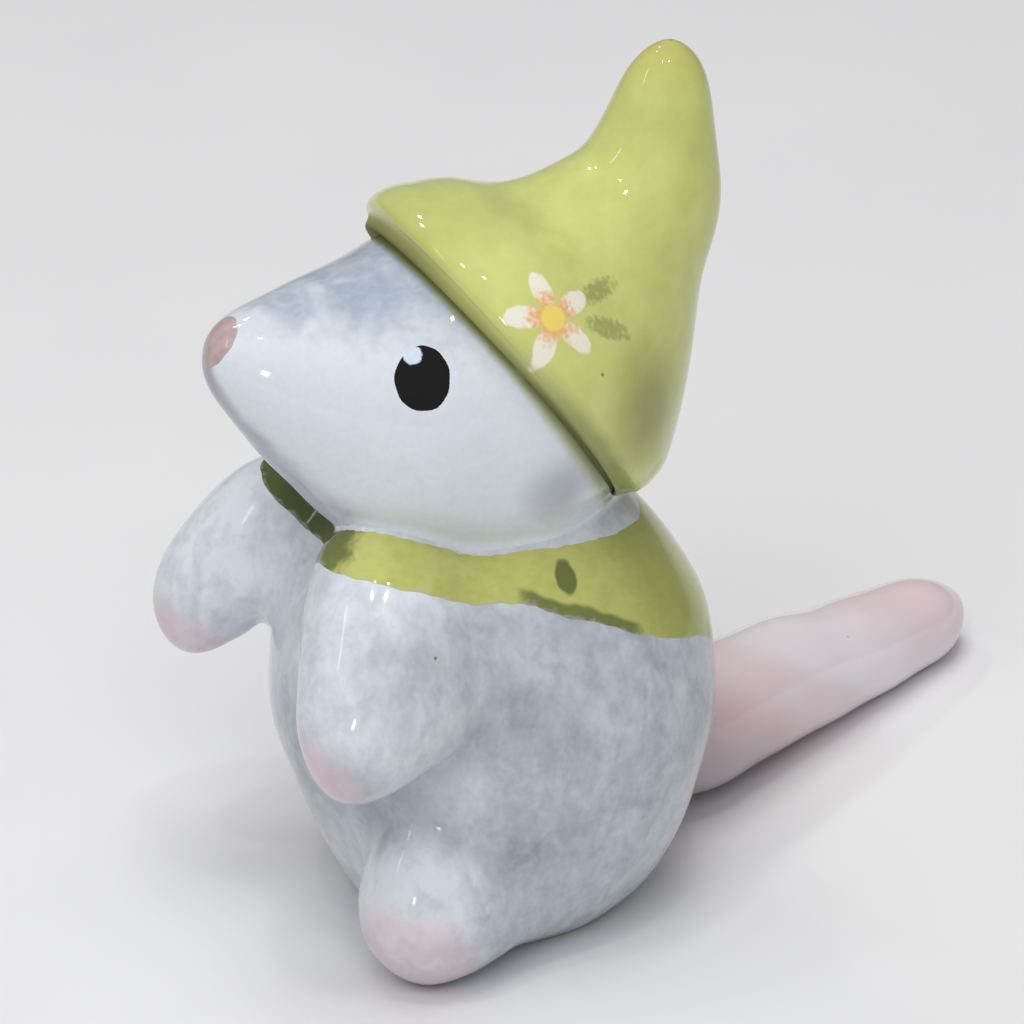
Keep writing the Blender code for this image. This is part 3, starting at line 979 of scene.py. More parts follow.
    def gap(self, points: np.ndarray) -> np.ndarray:
        """Height of points above the roll, below zero inside it.

        The nearest place of the spine is guessed among few of the tabulated ones and bettered by
        Newton's steps on the slope of the distance. With r the distance from the spine, R the
        egg's radius in that direction and S' the slope of R squared, the height is
        (r*r - R*R) / sqrt((r + R)**2 + S'**2), exact on a cylinder and close on a round end.

        Args:
            points: points of any array shape.

        Returns:
            Their heights.
        """
        flat = points.reshape(-1, 3)
        few = slice(None, None, self.samples // self.guesses)
        apart = (self.centre[few] ** 2).sum(1) - 2 * flat @ self.centre[few].T
        at = self.at[few][apart.argmin(1)]
        for _ in range(self.rounds):
            centre, speed, bend = self.read(at, self.centre, self.speed, self.bend)
            offset = flat - centre
            square = (speed**2).sum(1)
            fall = np.maximum(square - (offset * bend).sum(1), 0.3 * square)
            at = np.clip(at + (offset * speed).sum(1) / fall, 0, self.length)
        tables = self.centre, self.ahead, self.across, self.upward, self.girth, self.growth
        centre, ahead, across, upward, girth, growth = self.read(at, *tables)
        offset = flat - centre
        x = (offset * across).sum(1)
        y = (offset * upward).sum(1)
        beyond = np.abs((offset * ahead).sum(1))
        above = y > 0
        wide = np.maximum(girth[:, 0], TINY)
        tall = np.maximum(np.where(above, girth[:, 1], girth[:, 2]), TINY)
        square = x * x + y * y
        cosine = x * x / np.maximum(square, 1e-12)
        egg = 1 / (cosine / wide + (1 - cosine) / tall)
        slope = cosine * growth[:, 0] + (1 - cosine) * np.where(above, growth[:, 1], growth[:, 2])
        reach = np.sqrt(square) + np.sqrt(egg)
        height = (square - egg) / np.sqrt(reach**2 + slope**2 + TINY) + beyond
        return height.reshape(points.shape[:-1])

    def seat(self, at: float, turn: float) -> Seat:
        """Frame on the surface.

        Args:
            at: place along the spine.
            turn: angle round it, in radians.

        Returns:
            The point, and the directions along the spine, round it and out of the surface.
        """
        step = 0.02
        places = np.array((at, at + step, at - step, at, at))
        turns = np.array((turn, turn, turn, turn + step, turn - step))
        here, ahead, behind, left, right = self.surface(places, turns)
        along = unit(ahead - behind)
        out = unit(np.cross(along, left - right))
        middle = self.read(np.array((at,)), self.centre)[0][0]
        out = out if out @ (here - middle) > 0 else -out
        return here, along, np.cross(out, along), out

    def tip(self, lift: float) -> Seat:
        """Frame at the end of the spine, raised a little: point, upward, across and ahead."""
        upward = self.upward[-1]
        return self.centre[-1] + upward * lift, upward, self.across[-1], self.ahead[-1]


@dataclass
class Clay:
    """Every roll that is luted to the others, as one field of heights above the clay.

    Attributes:
        rolls: the rolls, the body first.
        blends: how wide the slip at each one's joint is drawn out, by its root and by its tip.
        wobble: height of the unevenness that hands leave, in millimetres.
        count: how many waves make it up.
        lengths: shortest and longest of these waves.
        reach: how far from a roll its height is still worked out.
        sink: how a roll's skin sinks under its neighbours: a share of the depth, and of its square.
        deepest: depth past which it sinks no further.
    """

    rolls: Dict[str, Roll]
    blends: Dict[str, Tuple[float, float]]
    wobble: float = 0.07
    count: int = 9
    lengths: Tuple[float, float] = (7.0, 19.0)
    reach: float = 6.0
    sink: Tuple[float, float] = (0.04, 0.2)
    deepest: float = 3.0

    def __post_init__(self) -> None:
        """Choose the waves of the unevenness, the same at each run."""
        source = np.random.default_rng(7)
        directions = unit(source.normal(size=(self.count, 3)))
        self.waves = directions * FULL_TURN / source.uniform(*self.lengths, size=(self.count, 1))
        self.starts = source.uniform(0, FULL_TURN, size=self.count)

    def unevenness(self, points: np.ndarray) -> np.ndarray:
        """Sum of slow sine waves through space."""
        return np.sin(points @ self.waves.T + self.starts).sum(-1) * self.wobble / 2

    def heights(self, points: np.ndarray) -> Dict[str, np.ndarray]:
        """Height of points above each roll, worked out only near it and else set far off.

        Args:
            points: points in rows.

        Returns:
            Heights by the roll's name.
        """
        found = {}
        for name, roll in self.rolls.items():
            reach = float(np.sqrt(roll.girth.max())) + self.reach
            low, high = roll.centre.min(0) - reach, roll.centre.max(0) + reach
            close = ((points > low) & (points < high)).all(-1)
            gaps = np.full(points.shape[:-1], FAR_OFF)
            gaps[close] = roll.gap(points[close])
            found[name] = gaps
        return found

    def join(self, points: np.ndarray, found: Dict[str, np.ndarray]) -> np.ndarray:
        """Smooth least of the heights: where two differ by less than the blend k, the lower is
        lowered further by (k - difference)**2 / 4k. The blend goes from the root's to the tip's
        along the straight line between them.

        Args:
            points: points in rows.
            found: their heights by roll.

        Returns:
            Height above the joined clay.
        """
        joined: Optional[np.ndarray] = None
        for name, gaps in found.items():
            if joined is None:
                joined = gaps
                continue
            first, last = self.rolls[name].centre[[0, -1]]
            share = np.clip((points - first) @ (last - first) / ((last - first) ** 2).sum(), 0, 1)
            root, tip = self.blends[name]
            blend = root + (tip - root) * share
            near = np.maximum(blend - np.abs(joined - gaps), 0)
            joined = np.minimum(joined, gaps) - near**2 / (4 * blend)
        return joined

    def height(self, points: np.ndarray) -> np.ndarray:
        """Height of points above the clay."""
        return self.join(points, self.heights(points)) - self.unevenness(points)

    def outward(self, points: np.ndarray) -> np.ndarray:
        """Direction out of the clay at points."""
        return uphill(self.height, points)

    def press(self, points: np.ndarray, away: np.ndarray, rounds: int = 8,
              most: float = 4.0) -> np.ndarray:
        """Move points along given directions until they lie on the clay.

        Args:
            points: points to move, in rows.
            away: direction of each.
            rounds: steps taken.
            most: furthest that a point may move.

        Returns:
            The moved points.
        """
        moved = np.zeros(points.shape[:-1])
        for _ in range(rounds):
            moved = moved - self.height(points + away * moved[..., None])
            moved = np.clip(moved, -most, most)
        return points + away * moved[..., None]

    def skin_of(self, name: str, points: np.ndarray) -> Tuple[np.ndarray, np.ndarray]:
        """Carry one roll's points to the joined clay, and sink them under its neighbours.

        Args:
            name: the roll's name.
            points: its points, in rows.

        Returns:
            The points and the directions out of the clay there.
        """
        placed = self.press(points, uphill(self.rolls[name].gap, points))
        found = self.heights(placed)
        others = np.min([gaps for other, gaps in found.items() if other != name], axis=0)
        past = np.clip(found[name] - others, 0, self.deepest)
        normals = self.outward(placed)
        sunk = self.sink[0] * past + self.sink[1] * past**2
        return placed - normals * sunk[..., None], normals


def skin(name: str, grid: np.ndarray, closing: Closing, normals: Optional[np.ndarray] = None,
         marks: Optional[Dict[str, np.ndarray]] = None) -> bpy.types.Object:
    """Mesh over a grid of points; its columns run round and its rows close as said.

    Args:
        name: the object's name.
        grid: points in millimetres, by row and column.
        closing: how the rows end.
        normals: directions to shade by, at the same points.
        marks: numbers kept on the points, by name.

    Returns:
        The object, at the origin.
    """
    rows, columns = grid.shape[:2]
    flat = np.arange(rows * columns).reshape(rows, columns)
    keep = np.ones(rows * columns, bool)
    if closing is Closing.POLES:
        flat[0], flat[-1] = flat[0, 0], flat[-1, 0]
        keep[1:columns] = False
        keep[-columns + 1:] = False
    number = np.cumsum(keep) - 1
    below = flat if closing is Closing.LOOP else flat[:-1]
    above = np.roll(flat, -1, axis=0) if closing is Closing.LOOP else flat[1:]
    corners = (below, np.roll(below, -1, axis=1), np.roll(above, -1, axis=1), above)
    quads = number[np.stack(corners, -1).reshape(-1, 4)]
    points = grid.reshape(-1, 3)[keep] * MM
    a, b, c, d = (points[quads[:, i]] for i in range(4))
    volume = (a * np.cross(b, c) + a * np.cross(c, d)).sum()
    quads = quads if volume > 0 else quads[:, ::-1]
    faces = [tuple(dict.fromkeys(face)) for face in quads.tolist()]
    mesh = bpy.data.meshes.new(name)
    mesh.from_pydata(points.tolist(), [], faces)
    mesh.polygons.foreach_set("use_smooth", np.ones(len(mesh.polygons), bool))
    for mark, values in (marks or {}).items():
        layer = mesh.attributes.new(mark, "FLOAT", "POINT")
        layer.data.foreach_set("value", values.reshape(-1)[keep].astype(np.float32))
    mesh.update()
    if normals is not None:
        mesh.normals_split_custom_set_from_vertices(normals.reshape(-1, 3)[keep].tolist())
    piece = bpy.data.objects.new(name, mesh)
    bpy.context.scene.collection.objects.link(piece)
    return piece


def place_piece(piece: bpy.types.Object, node: str, material: bpy.types.Material) -> None:
    """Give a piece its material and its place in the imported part.

    Args:
        piece: the finished object.
        node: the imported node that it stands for.
        material: its material.
    """
    piece.data.materials.append(material)
    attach(piece, "root")
    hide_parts(node)
    LOG.info("%s: %d faces", piece.name, len(piece.data.polygons))


@dataclass
class Torso:
    """The pinched body, with the flat that it sits on and the vent in it.

    Attributes:
        rows: sections of the body, upright from below the floor.
        floor: place along the spine at which the floor cuts it.
        vent: radius of the vent, how far behind the middle it sits, and its depth.
        dome: how far the vent's top rises over its wall.
        flat_rings: steps from the edge of the flat to the vent.
        wall_rings: steps up the vent's wall.
        rings: steps up the body.
        sides: steps round it.
    """

    rows: Tuple[Row, ...] = (
        (0, 0, -3.0, 0, 0),
        (0, 0, 0.0, 9.5, 9.5, 9.0),
        (0, 0, 3.2, 12.0, 12.0, 11.2),
        (0, 0, 9.3, 14.7, 14.8, 13.9),
        (0, 0, 16.0, 15.5, 15.9, 15.5),
        (0, 0, 21.0, 14.8, 15.2),
        (0, 0, 25.0, 13.0, 13.4),
        (0, 0, 29.0, 10.4, 10.6),
        (0, 0, 32.0, 6.8, 6.8),
        (0, 0, 33.3, 0, 0),
    )
    floor: float = 3.0
    vent: Tuple[float, float, float] = (1.6, 5.0, 4.4)
    dome: float = 0.4
    flat_rings: int = 12
    wall_rings: int = 6
    rings: int = 170
    sides: int = 260

    def roll(self) -> Roll:
        """The body as a roll of clay."""
        return Roll(self.rows)

    def build(self, clay: Clay) -> None:
        """Skin the body above the floor, then draw its flat in to the vent and up the vent's wall.

        Args:
            clay: the joined clay.
        """
        roll = clay.rolls["body"]
        turns = turns_round(self.sides)
        places = self.floor + (roll.length - self.floor) * crowded(self.rings)
        at, turn = np.meshgrid(places, turns, indexing="ij")
        points = roll.surface(at, turn)
        placed, normals = clay.skin_of("body", points.reshape(-1, 3))
        placed, normals = placed.reshape(points.shape), normals.reshape(points.shape)
        placed[0, :, 2] = 0
        placed[..., 2] = np.maximum(placed[..., 2], 0)
        radius, back, depth = self.vent
        circle = np.stack((radius * np.cos(turns), back + radius * np.sin(turns), 0 * turns), -1)
        inward = np.linspace(0, 1, self.flat_rings + 1)[1:, None, None]
        flat = placed[0] * (1 - inward) + circle * inward
        rise = np.linspace(0, depth, self.wall_rings + 1)[1:, None, None]
        wall = circle + rise * np.array((0, 0, 1.0))
        top = np.broadcast_to(np.array((0, back, depth + self.dome)), (1, self.sides, 3))
        under = np.concatenate((flat, wall, top))[::-1]
        down = np.zeros_like(under)
        down[..., 2] = -1
        upright = slice(1, self.wall_rings + 1)
        down[upright, :, :2] = -(circle[:, :2] - np.array((0, back))) / radius
        down[upright, :, 2] = 0
        grid = np.concatenate((under, placed))
        shade = np.concatenate((down, normals))
        piece = skin("body_clay", grid, Closing.POLES, shade)
        place_piece(piece, "body", GreyWash("body_wash").dress())


@dataclass
class Limb:
    """An arm, a leg or the tail: a tapered roll that ends as round as a thumb leaves it.

    Attributes:
        node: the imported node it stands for.
        slot: the record's material slot.
        rows: its sections, from the root in the body to the tip.
        blend: how wide the slip at its joint is drawn out, by its root and by its tip.
        rings: steps along it.
        sides: steps round it.
    """

    node: str
    slot: str
    rows: Tuple[Row, ...]
    blend: Tuple[float, float]
    rings: int = 120
    sides: int = 150

    def roll(self) -> Roll:
        """The limb as a roll of clay."""
        return Roll(self.rows)

    def build(self, clay: Clay, material: bpy.types.Material) -> None:
        """Skin the limb, flat where it rests on the floor.

        Args:
            clay: the joined clay.
            material: its material.
        """
        points, _, _ = clay.rolls[self.node].grid(self.rings, self.sides)
        placed, normals = clay.skin_of(self.node, points.reshape(-1, 3))
        under = placed[:, 2] < 0
        placed[under, 2] = 0
        normals[under] = (0, 0, -1)
        piece = skin(self.node + "_clay", placed.reshape(points.shape), Closing.POLES,
                     normals.reshape(points.shape))
        place_piece(piece, self.node, material)


@dataclass
class Inlay:
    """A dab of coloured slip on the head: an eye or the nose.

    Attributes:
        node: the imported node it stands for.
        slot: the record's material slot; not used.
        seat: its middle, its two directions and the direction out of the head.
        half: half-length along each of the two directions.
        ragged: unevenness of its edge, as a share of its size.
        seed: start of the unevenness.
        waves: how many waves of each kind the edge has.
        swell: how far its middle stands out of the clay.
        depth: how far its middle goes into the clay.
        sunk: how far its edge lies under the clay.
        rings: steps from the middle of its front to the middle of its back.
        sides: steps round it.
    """

    node: str
    slot: str
    seat: Seat
    half: Tuple[float, float]
    ragged: float
    seed: int
    waves: Tuple[int, ...] = (2, 3, 5, 9)
    swell: float = 0.09
    depth: float = 0.4
    sunk: float = 0.015
    rings: int = 48
    sides: int = 120

    def build(self, clay: Clay, material: bpy.types.Material) -> None:
        """Lens on the head: its front swells by 1 - r*r and its back by the root of that, from an
        edge just under the clay.

        Args:
            clay: the joined clay.
            material: its material.
        """
        here, along, around, out = self.seat
        turns = turns_round(self.sides)
        source = np.random.default_rng(self.seed)
        edge = np.ones(self.sides)
        for wave in self.waves:
            height = self.ragged * source.uniform(0.5, 1.0) / (1 + wave / self.waves[-1])
            edge = edge + height * np.sin(wave * turns + source.uniform(0, FULL_TURN))
        swing = np.linspace(0, math.pi, self.rings + 1)[:, None]
        radius = np.sin(swing)
        flat = (radius * edge * np.cos(turns))[..., None] * along * self.half[0]
        flat = flat + (radius * edge * np.sin(turns))[..., None] * around * self.half[1]
        points = (here + flat).reshape(-1, 3)
        away = np.broadcast_to(out, points.shape)
        level = np.cos(swing)
        lens = np.where(level > 0, self.swell * level**2, self.depth * level)
        proud = np.broadcast_to(lens - self.sunk, flat.shape[:2])
        placed = clay.press(points, away, rounds=10, most=6.0) + away * proud.reshape(-1, 1)
        piece = skin(self.node + "_slip", placed.reshape(flat.shape), Closing.POLES)
        place_piece(piece, self.node, material)


@dataclass
class Head:
    """The head, drawn out to a snout, with its eyes and nose.

    Attributes:
        rows: its sections, from the back of the skull to the tip of the snout.
        blend: how wide the slip at the neck and at the snout is drawn out.
        eye_at: place of the eyes along its spine.
        eye_turn: degrees that they sit above its middle.
        eye_half: half-length of an eye along the spine and round it.
        eye_dot: middle of the dot in the left eye.
        eye_ragged: unevenness of an eye's edge, as a share of its size.
        eye_seeds: starts of the unevenness of the left and of the right eye.
        nose_lift: how far the nose sits above the end of the spine.
        nose_half: half-length of the nose up and across.
        nose_ragged: unevenness of the nose's edge.
        nose_seed: start of it.
        rings: steps along it.
        sides: steps round it.
    """

    rows: Tuple[Row, ...] = (
        (0, 12.4, 40.6, 0, 0),
        (0, 9.5, 40.2, 6.8, 6.3, 6.8),
        (0, 5.5, 39.6, 9.8, 9.2, 9.8),
        (0, -0.5, 39.0, 11.8, 11.2, 12.3),
        (0, -7.0, 39.8, 10.8, 10.6, 11.2),
        (0, -12.5, 41.5, 7.9, 7.7),
        (0, -16.8, 43.4, 5.0, 4.8),
        (0, -19.2, 44.6, 3.0, 2.9),
        (0, -20.4, 45.3, 0, 0),
    )
    blend: Tuple[float, float] = (1.6, 1.0)
    eye_at: float = 22.7
    eye_turn: float = 23.0
    eye_half: Tuple[float, float] = (2.01, 2.37)
    eye_dot: Point = (7.62, -9.15, 45.42)
    eye_ragged: float = 0.02
    eye_seeds: Tuple[int, int] = (4, 9)
    nose_lift: float = 0.3
    nose_half: Tuple[float, float] = (2.06, 1.9)
    nose_ragged: float = 0.03
    nose_seed: int = 3
    rings: int = 170
    sides: int = 220

    def roll(self) -> Roll:
        """The head as a roll of clay."""
        return Roll(self.rows)

    def build(self, clay: Clay, hat: Hat) -> None:
        """Skin the head and lay the eyes and the nose on it.

        Args:
            clay: the joined clay.
            hat: the hat, whose brim tells where its green line runs.
        """
        roll = clay.rolls["head"]
        points, _, turn = roll.grid(self.rings, self.sides)
        placed, normals = clay.skin_of("head", points.reshape(-1, 3))
        brim, ahead = hat.brim()
        piece = skin("head_clay", placed.reshape(points.shape), Closing.POLES,
                     normals.reshape(points.shape), {"crown": np.sin(turn)})
        place_piece(piece, "head", FaceWash("face_wash", brim, ahead).dress())
        black = EyeBlack("eye_black", self.eye_dot).dress()
        angles = (self.eye_turn, 180 - self.eye_turn)
        for node, angle, seed in zip(("left_eye", "right_eye"), angles, self.eye_seeds):
            seat = roll.seat(self.eye_at, math.radians(angle))
            eye = Inlay(node, "eye_glaze", seat, self.eye_half, self.eye_ragged, seed)
            eye.build(clay, black)
        tip = roll.tip(self.nose_lift)
        nose = Inlay("nose", "nose_glaze", tip, self.nose_half, self.nose_ragged, self.nose_seed)
        nose.build(clay, NosePink("nose_pink").dress())


@dataclass
class Hat:
    """The pointed hat, pressed over the crown and bent back.

    Attributes:
        rows: its sections, from inside the head past the lip to the point.
        ease: length over which spine and girth are evened out.
        firm: length of the lip, which is left as it was pressed.
        brim_at: place along the spine at which the lip meets the head.
        rings: steps along it.
        sides: steps round it.
        flower: place along the spine and angle of the blossom.
    """

    rows: Tuple[Row, ...] = (
        (0, -0.25, 40.52, 0, 0),
        (0, -0.16, 40.58, 11.9, 11.7, 12.0),
        (0, 0.03, 40.72, 12.5, 12.4, 12.6),
        (0, 0.35, 40.94, 12.95, 13.0, 13.1),
        (0, 1.0, 41.4, 13.3, 13.5, 13.6),
        (0, 2.0, 42.08, 13.1, 13.2, 14.0),
        (0, 3.5, 43.1, 12.4, 12.05, 14.1),
        (0, 5.8, 44.7, 10.2, 10.4, 11.8),
        (0, 7.6, 46.3, 8.3, 8.5, 9.4),
        (0, 9.5, 48.5, 6.6, 6.6, 7.2),
        (0, 11.6, 51.4, 5.2, 5.0, 5.6),
        (0, 12.8, 55.1, 4.0, 4.0),
        (0, 13.3, 58.6, 3.0, 3.0),
        (0, 13.45, 60.4, 2.15, 2.15),
        (0, 13.5, 61.5, 0, 0),
    )
    ease: float = 1.1
    firm: float = 2.6
    brim_at: float = 0.3
    rings: int = 220
    sides: int = 240
    flower: Tuple[float, float] = (3.95, 29.5)

    def roll(self) -> Roll:
        """The hat as a roll of clay, whose lip is left as it was pressed."""
        return Roll(self.rows, self.ease, self.firm)

    def brim(self) -> Tuple[Point, Point]:
        """Point and direction of the plane in which the hat meets the head."""
        roll = self.roll()
        centre, ahead = roll.read(np.array((self.brim_at,)), roll.centre, roll.ahead)
        return tuple(centre[0].tolist()), tuple(ahead[0].tolist())

    def blossom(self, roll: Roll) -> Blossom:
        """The flower, upright in the hat's surface.

        Args:
            roll: the hat as a roll of clay.

        Returns:
            The flower.
        """
        here, _, _, out = roll.seat(self.flower[0], math.radians(self.flower[1]))
        right = unit(np.cross((0.0, 0.0, 1.0), out))
        up = np.cross(out, right)
        return Blossom(tuple(here.tolist()), tuple(right.tolist()), tuple(up.tolist()))

    def build(self, clay: Clay) -> None:
        """Skin the hat with the same slow unevenness as the clay.

        Args:
            clay: the joined clay.
        """
        roll = self.roll()
        points, at, _ = roll.grid(self.rings, self.sides)
        outward = unit(points - roll.read(at, roll.centre)[0])
        points = points + outward * clay.unevenness(points)[..., None]
        piece = skin("hat_clay", points, Closing.POLES, None, {"rise": at})
        place_piece(piece, "hat", HatGreen("hat_green", self.blossom(roll)).dress())


@dataclass
class Scarf:
    """The scarf: a thin coat of green slip over chest and shoulders, down to a corner behind.

    Attributes:
        hem: height of its lower edge on the chest.
        corner: height of its corner behind.
        turn: degrees from the front where the hem starts to fall.
        rise: slope of the hem as it climbs out over the shoulders.
        chest: distance from the axis at which the hem has its height.
        dip: how the hem dips behind the arms: depth, and degrees of its middle and its width.
        neck: width of the bare strip under the head.
        nape: how much wider it is behind: width, and degrees of its middle and its width.
        ragged: height of the unevenness of the edges.
        waves: how many waves of each kind the edges have.
        collar: least height of the upper edge.
        least: least angle between the two edges, in radians.
        centre: point from which the coat is looked for.
        search: lowest and highest ray that is tried, in degrees, and how many.
        reach: nearest, first and furthest place that is tried along a ray.
        stride: share of the height that one try moves along a ray.
        rounds: tries along a ray.
        proud: how far the coat stands out of the clay.
        depth: how far it goes into the clay.
        sunk: how far its edges lie under the clay.
        loop: steps round its section.
        columns: steps round it.
    """

    hem: float = 27.4
    corner: float = 13.4
    turn: float = 85.0
    rise: float = 0.6
    chest: float = 11.5
    dip: Bell = (0.6, 89.0, 9.0)
    neck: float = 0.7
    nape: Bell = (2.1, 150.0, 30.0)
    ragged: float = 0.24
    waves: Tuple[int, ...] = (4, 7, 12, 21, 36, 60)
    collar: float = 20.0
    least: float = 0.03
    centre: Point = (0.0, -1.0, 23.0)
    search: Tuple[float, float, int] = (-40.0, 70.0, 150)
    reach: Tuple[float, float, float] = (4.0, 22.0, 26.0)
    stride: float = 0.85
    rounds: int = 14
    proud: float = 0.05
    depth: float = 0.35
    sunk: float = 0.012
    loop: int = 56
    columns: int = 840

    def cast(self, clay: Clay, around: np.ndarray, slope: np.ndarray, proud: np.ndarray) -> np.ndarray:
        """Points where rays from the centre leave the clay.

        Args:
            clay: the joined clay.
            around: angle of each ray from the front, in radians.
            slope: angle of each ray above the level, in radians.
            proud: height above the clay at which each ends.

        Returns:
            The points.
        """
        level = np.cos(slope)
        away = np.stack((np.sin(around) * level, -np.cos(around) * level, np.sin(slope)), -1)
        nearest, first, furthest = self.reach
        reach = np.full(around.shape, first)
        start = np.array(self.centre)
        for _ in range(self.rounds):
            points = (start + away * reach[..., None]).reshape(-1, 3)
            height = clay.height(points).reshape(around.shape)
            reach = np.clip(reach - self.stride * (height - proud), nearest, furthest)
        return start + away * reach[..., None]

    def edges(self, clay: Clay, around: np.ndarray) -> Tuple[np.ndarray, np.ndarray]:
        """Lowest and highest ray of the coat all round.

        Args:
            clay: the joined clay.
            around: angles from the front.

        Returns:
            Slopes of the rays that meet the hem and the upper edge.
        """
        slopes = np.radians(np.linspace(*self.search))
        grid_around, grid_slope = np.meshgrid(around, slopes, indexing="ij")
        points = self.cast(clay, grid_around, grid_slope, np.zeros(grid_around.shape))
        radius = np.hypot(points[..., 0], points[..., 1])
        behind = from_front(grid_around)
        fall = np.maximum(behind - self.turn, 0) / (180 - self.turn)
        hem = self.hem - (self.hem - self.corner) * fall + self.rise * (radius - self.chest)
        hem = hem - bell(behind, self.dip)
        waves = np.array(self.waves)
        starts = np.random.default_rng(11).uniform(0, FULL_TURN, size=(2, len(waves)))
        heights = self.ragged / np.sqrt(waves)
        ragged = [(np.sin(np.outer(around, waves) + start) * heights).sum(1) for start in starts]
        neck = clay.rolls["head"].gap(points.reshape(-1, 3)).reshape(radius.shape)
        bare = self.neck + bell(behind[:, 0], self.nape) + 0.5 * ragged[1]
        below = hem + ragged[0][:, None] - points[..., 2]
        clear = np.where(points[..., 2] > self.collar, neck - bare[:, None], -1)
        low, high = self.last_above_zero(slopes, below), self.last_above_zero(slopes, clear)
        return low, np.maximum(high, low + self.least)

    def last_above_zero(self, slopes: np.ndarray, values: np.ndarray) -> np.ndarray:
        """Slope at which each row of values falls below zero for the last time.

        Args:
            slopes: slope of each column, evenly spaced.
            values: one row for each ray round the scarf.

        Returns:
            One slope for each row.
        """
        last = values.shape[1] - 1 - (values > 0)[:, ::-1].argmax(1)
        last = np.minimum(last, values.shape[1] - 2)
        row = np.arange(len(values))
        here, there = values[row, last], values[row, last + 1]
        share = np.clip(here / np.maximum(here - there, TINY), 0, 1)
        return slopes[last] + share * (slopes[1] - slopes[0])

    def build(self, clay: Clay) -> None:
        """Coat whose section is a flat loop: out over the clay from hem to neck, and back under it.

        Args:
            clay: the joined clay.
        """
        around = turns_round(self.columns)
        low, high = self.edges(clay, around)
        loop = turns_round(self.loop)
        share = ((1 - np.cos(loop)) / 2)[:, None]
        slope = low + (high - low) * share
        proud = np.where(np.sin(loop) > 0, self.proud, self.depth) * np.sin(loop) - self.sunk
        grid_around = np.broadcast_to(around, slope.shape)
        points = self.cast(clay, grid_around, slope, np.broadcast_to(proud[:, None], slope.shape))
        above = np.linalg.norm(points - points[:1], axis=-1)
        marks = {"turn": from_front(grid_around), "above_hem": above}
        piece = skin("scarf_slip", points, Closing.LOOP, None, marks)
        place_piece(piece, "scarf", ScarfGreen("scarf_green").dress())


@dataclass(frozen=True)
class Lamp:
    """A strip of light that looks at the figurine.

    Attributes:
        name: its name.
        ends: degrees from the front and above the level of its two ends, as the figurine sees them.
        width: its width in metres.
        level: share of plain white that it gives a surface square to it.
        mirrored: whether the glaze mirrors it.
        away: its distance in metres.
        height: height of the point that it looks at, in metres.
    """

    name: str
    ends: Tuple[Aim, Aim]
    width: float
    level: float
    mirrored: bool = True
    away: float = 0.8
    height: float = 0.03

    def hang(self) -> None:
        """Place the strip square to its line of sight, along the line between its ends."""
        first, last = (aim(*end) for end in self.ends)
        direction = unit(first + last)
        across = unit(last - first)
        axes = np.stack((across, np.cross(direction, across), direction), axis=1)
        light = bpy.data.lights.new(self.name, "AREA")
        light.shape = "RECTANGLE"
        light.size = float(np.linalg.norm(last - first)) * self.away
        light.size_y = self.width
        light.energy = self.level * (math.pi * self.away) ** 2
        box = bpy.data.objects.new(self.name, light)
        box.location = Vector(direction * self.away) + Vector((0, 0, self.height))
        box.rotation_euler = Matrix(axes.tolist()).to_euler()
        box.visible_glossy = self.mirrored
        bpy.context.scene.collection.objects.link(box)


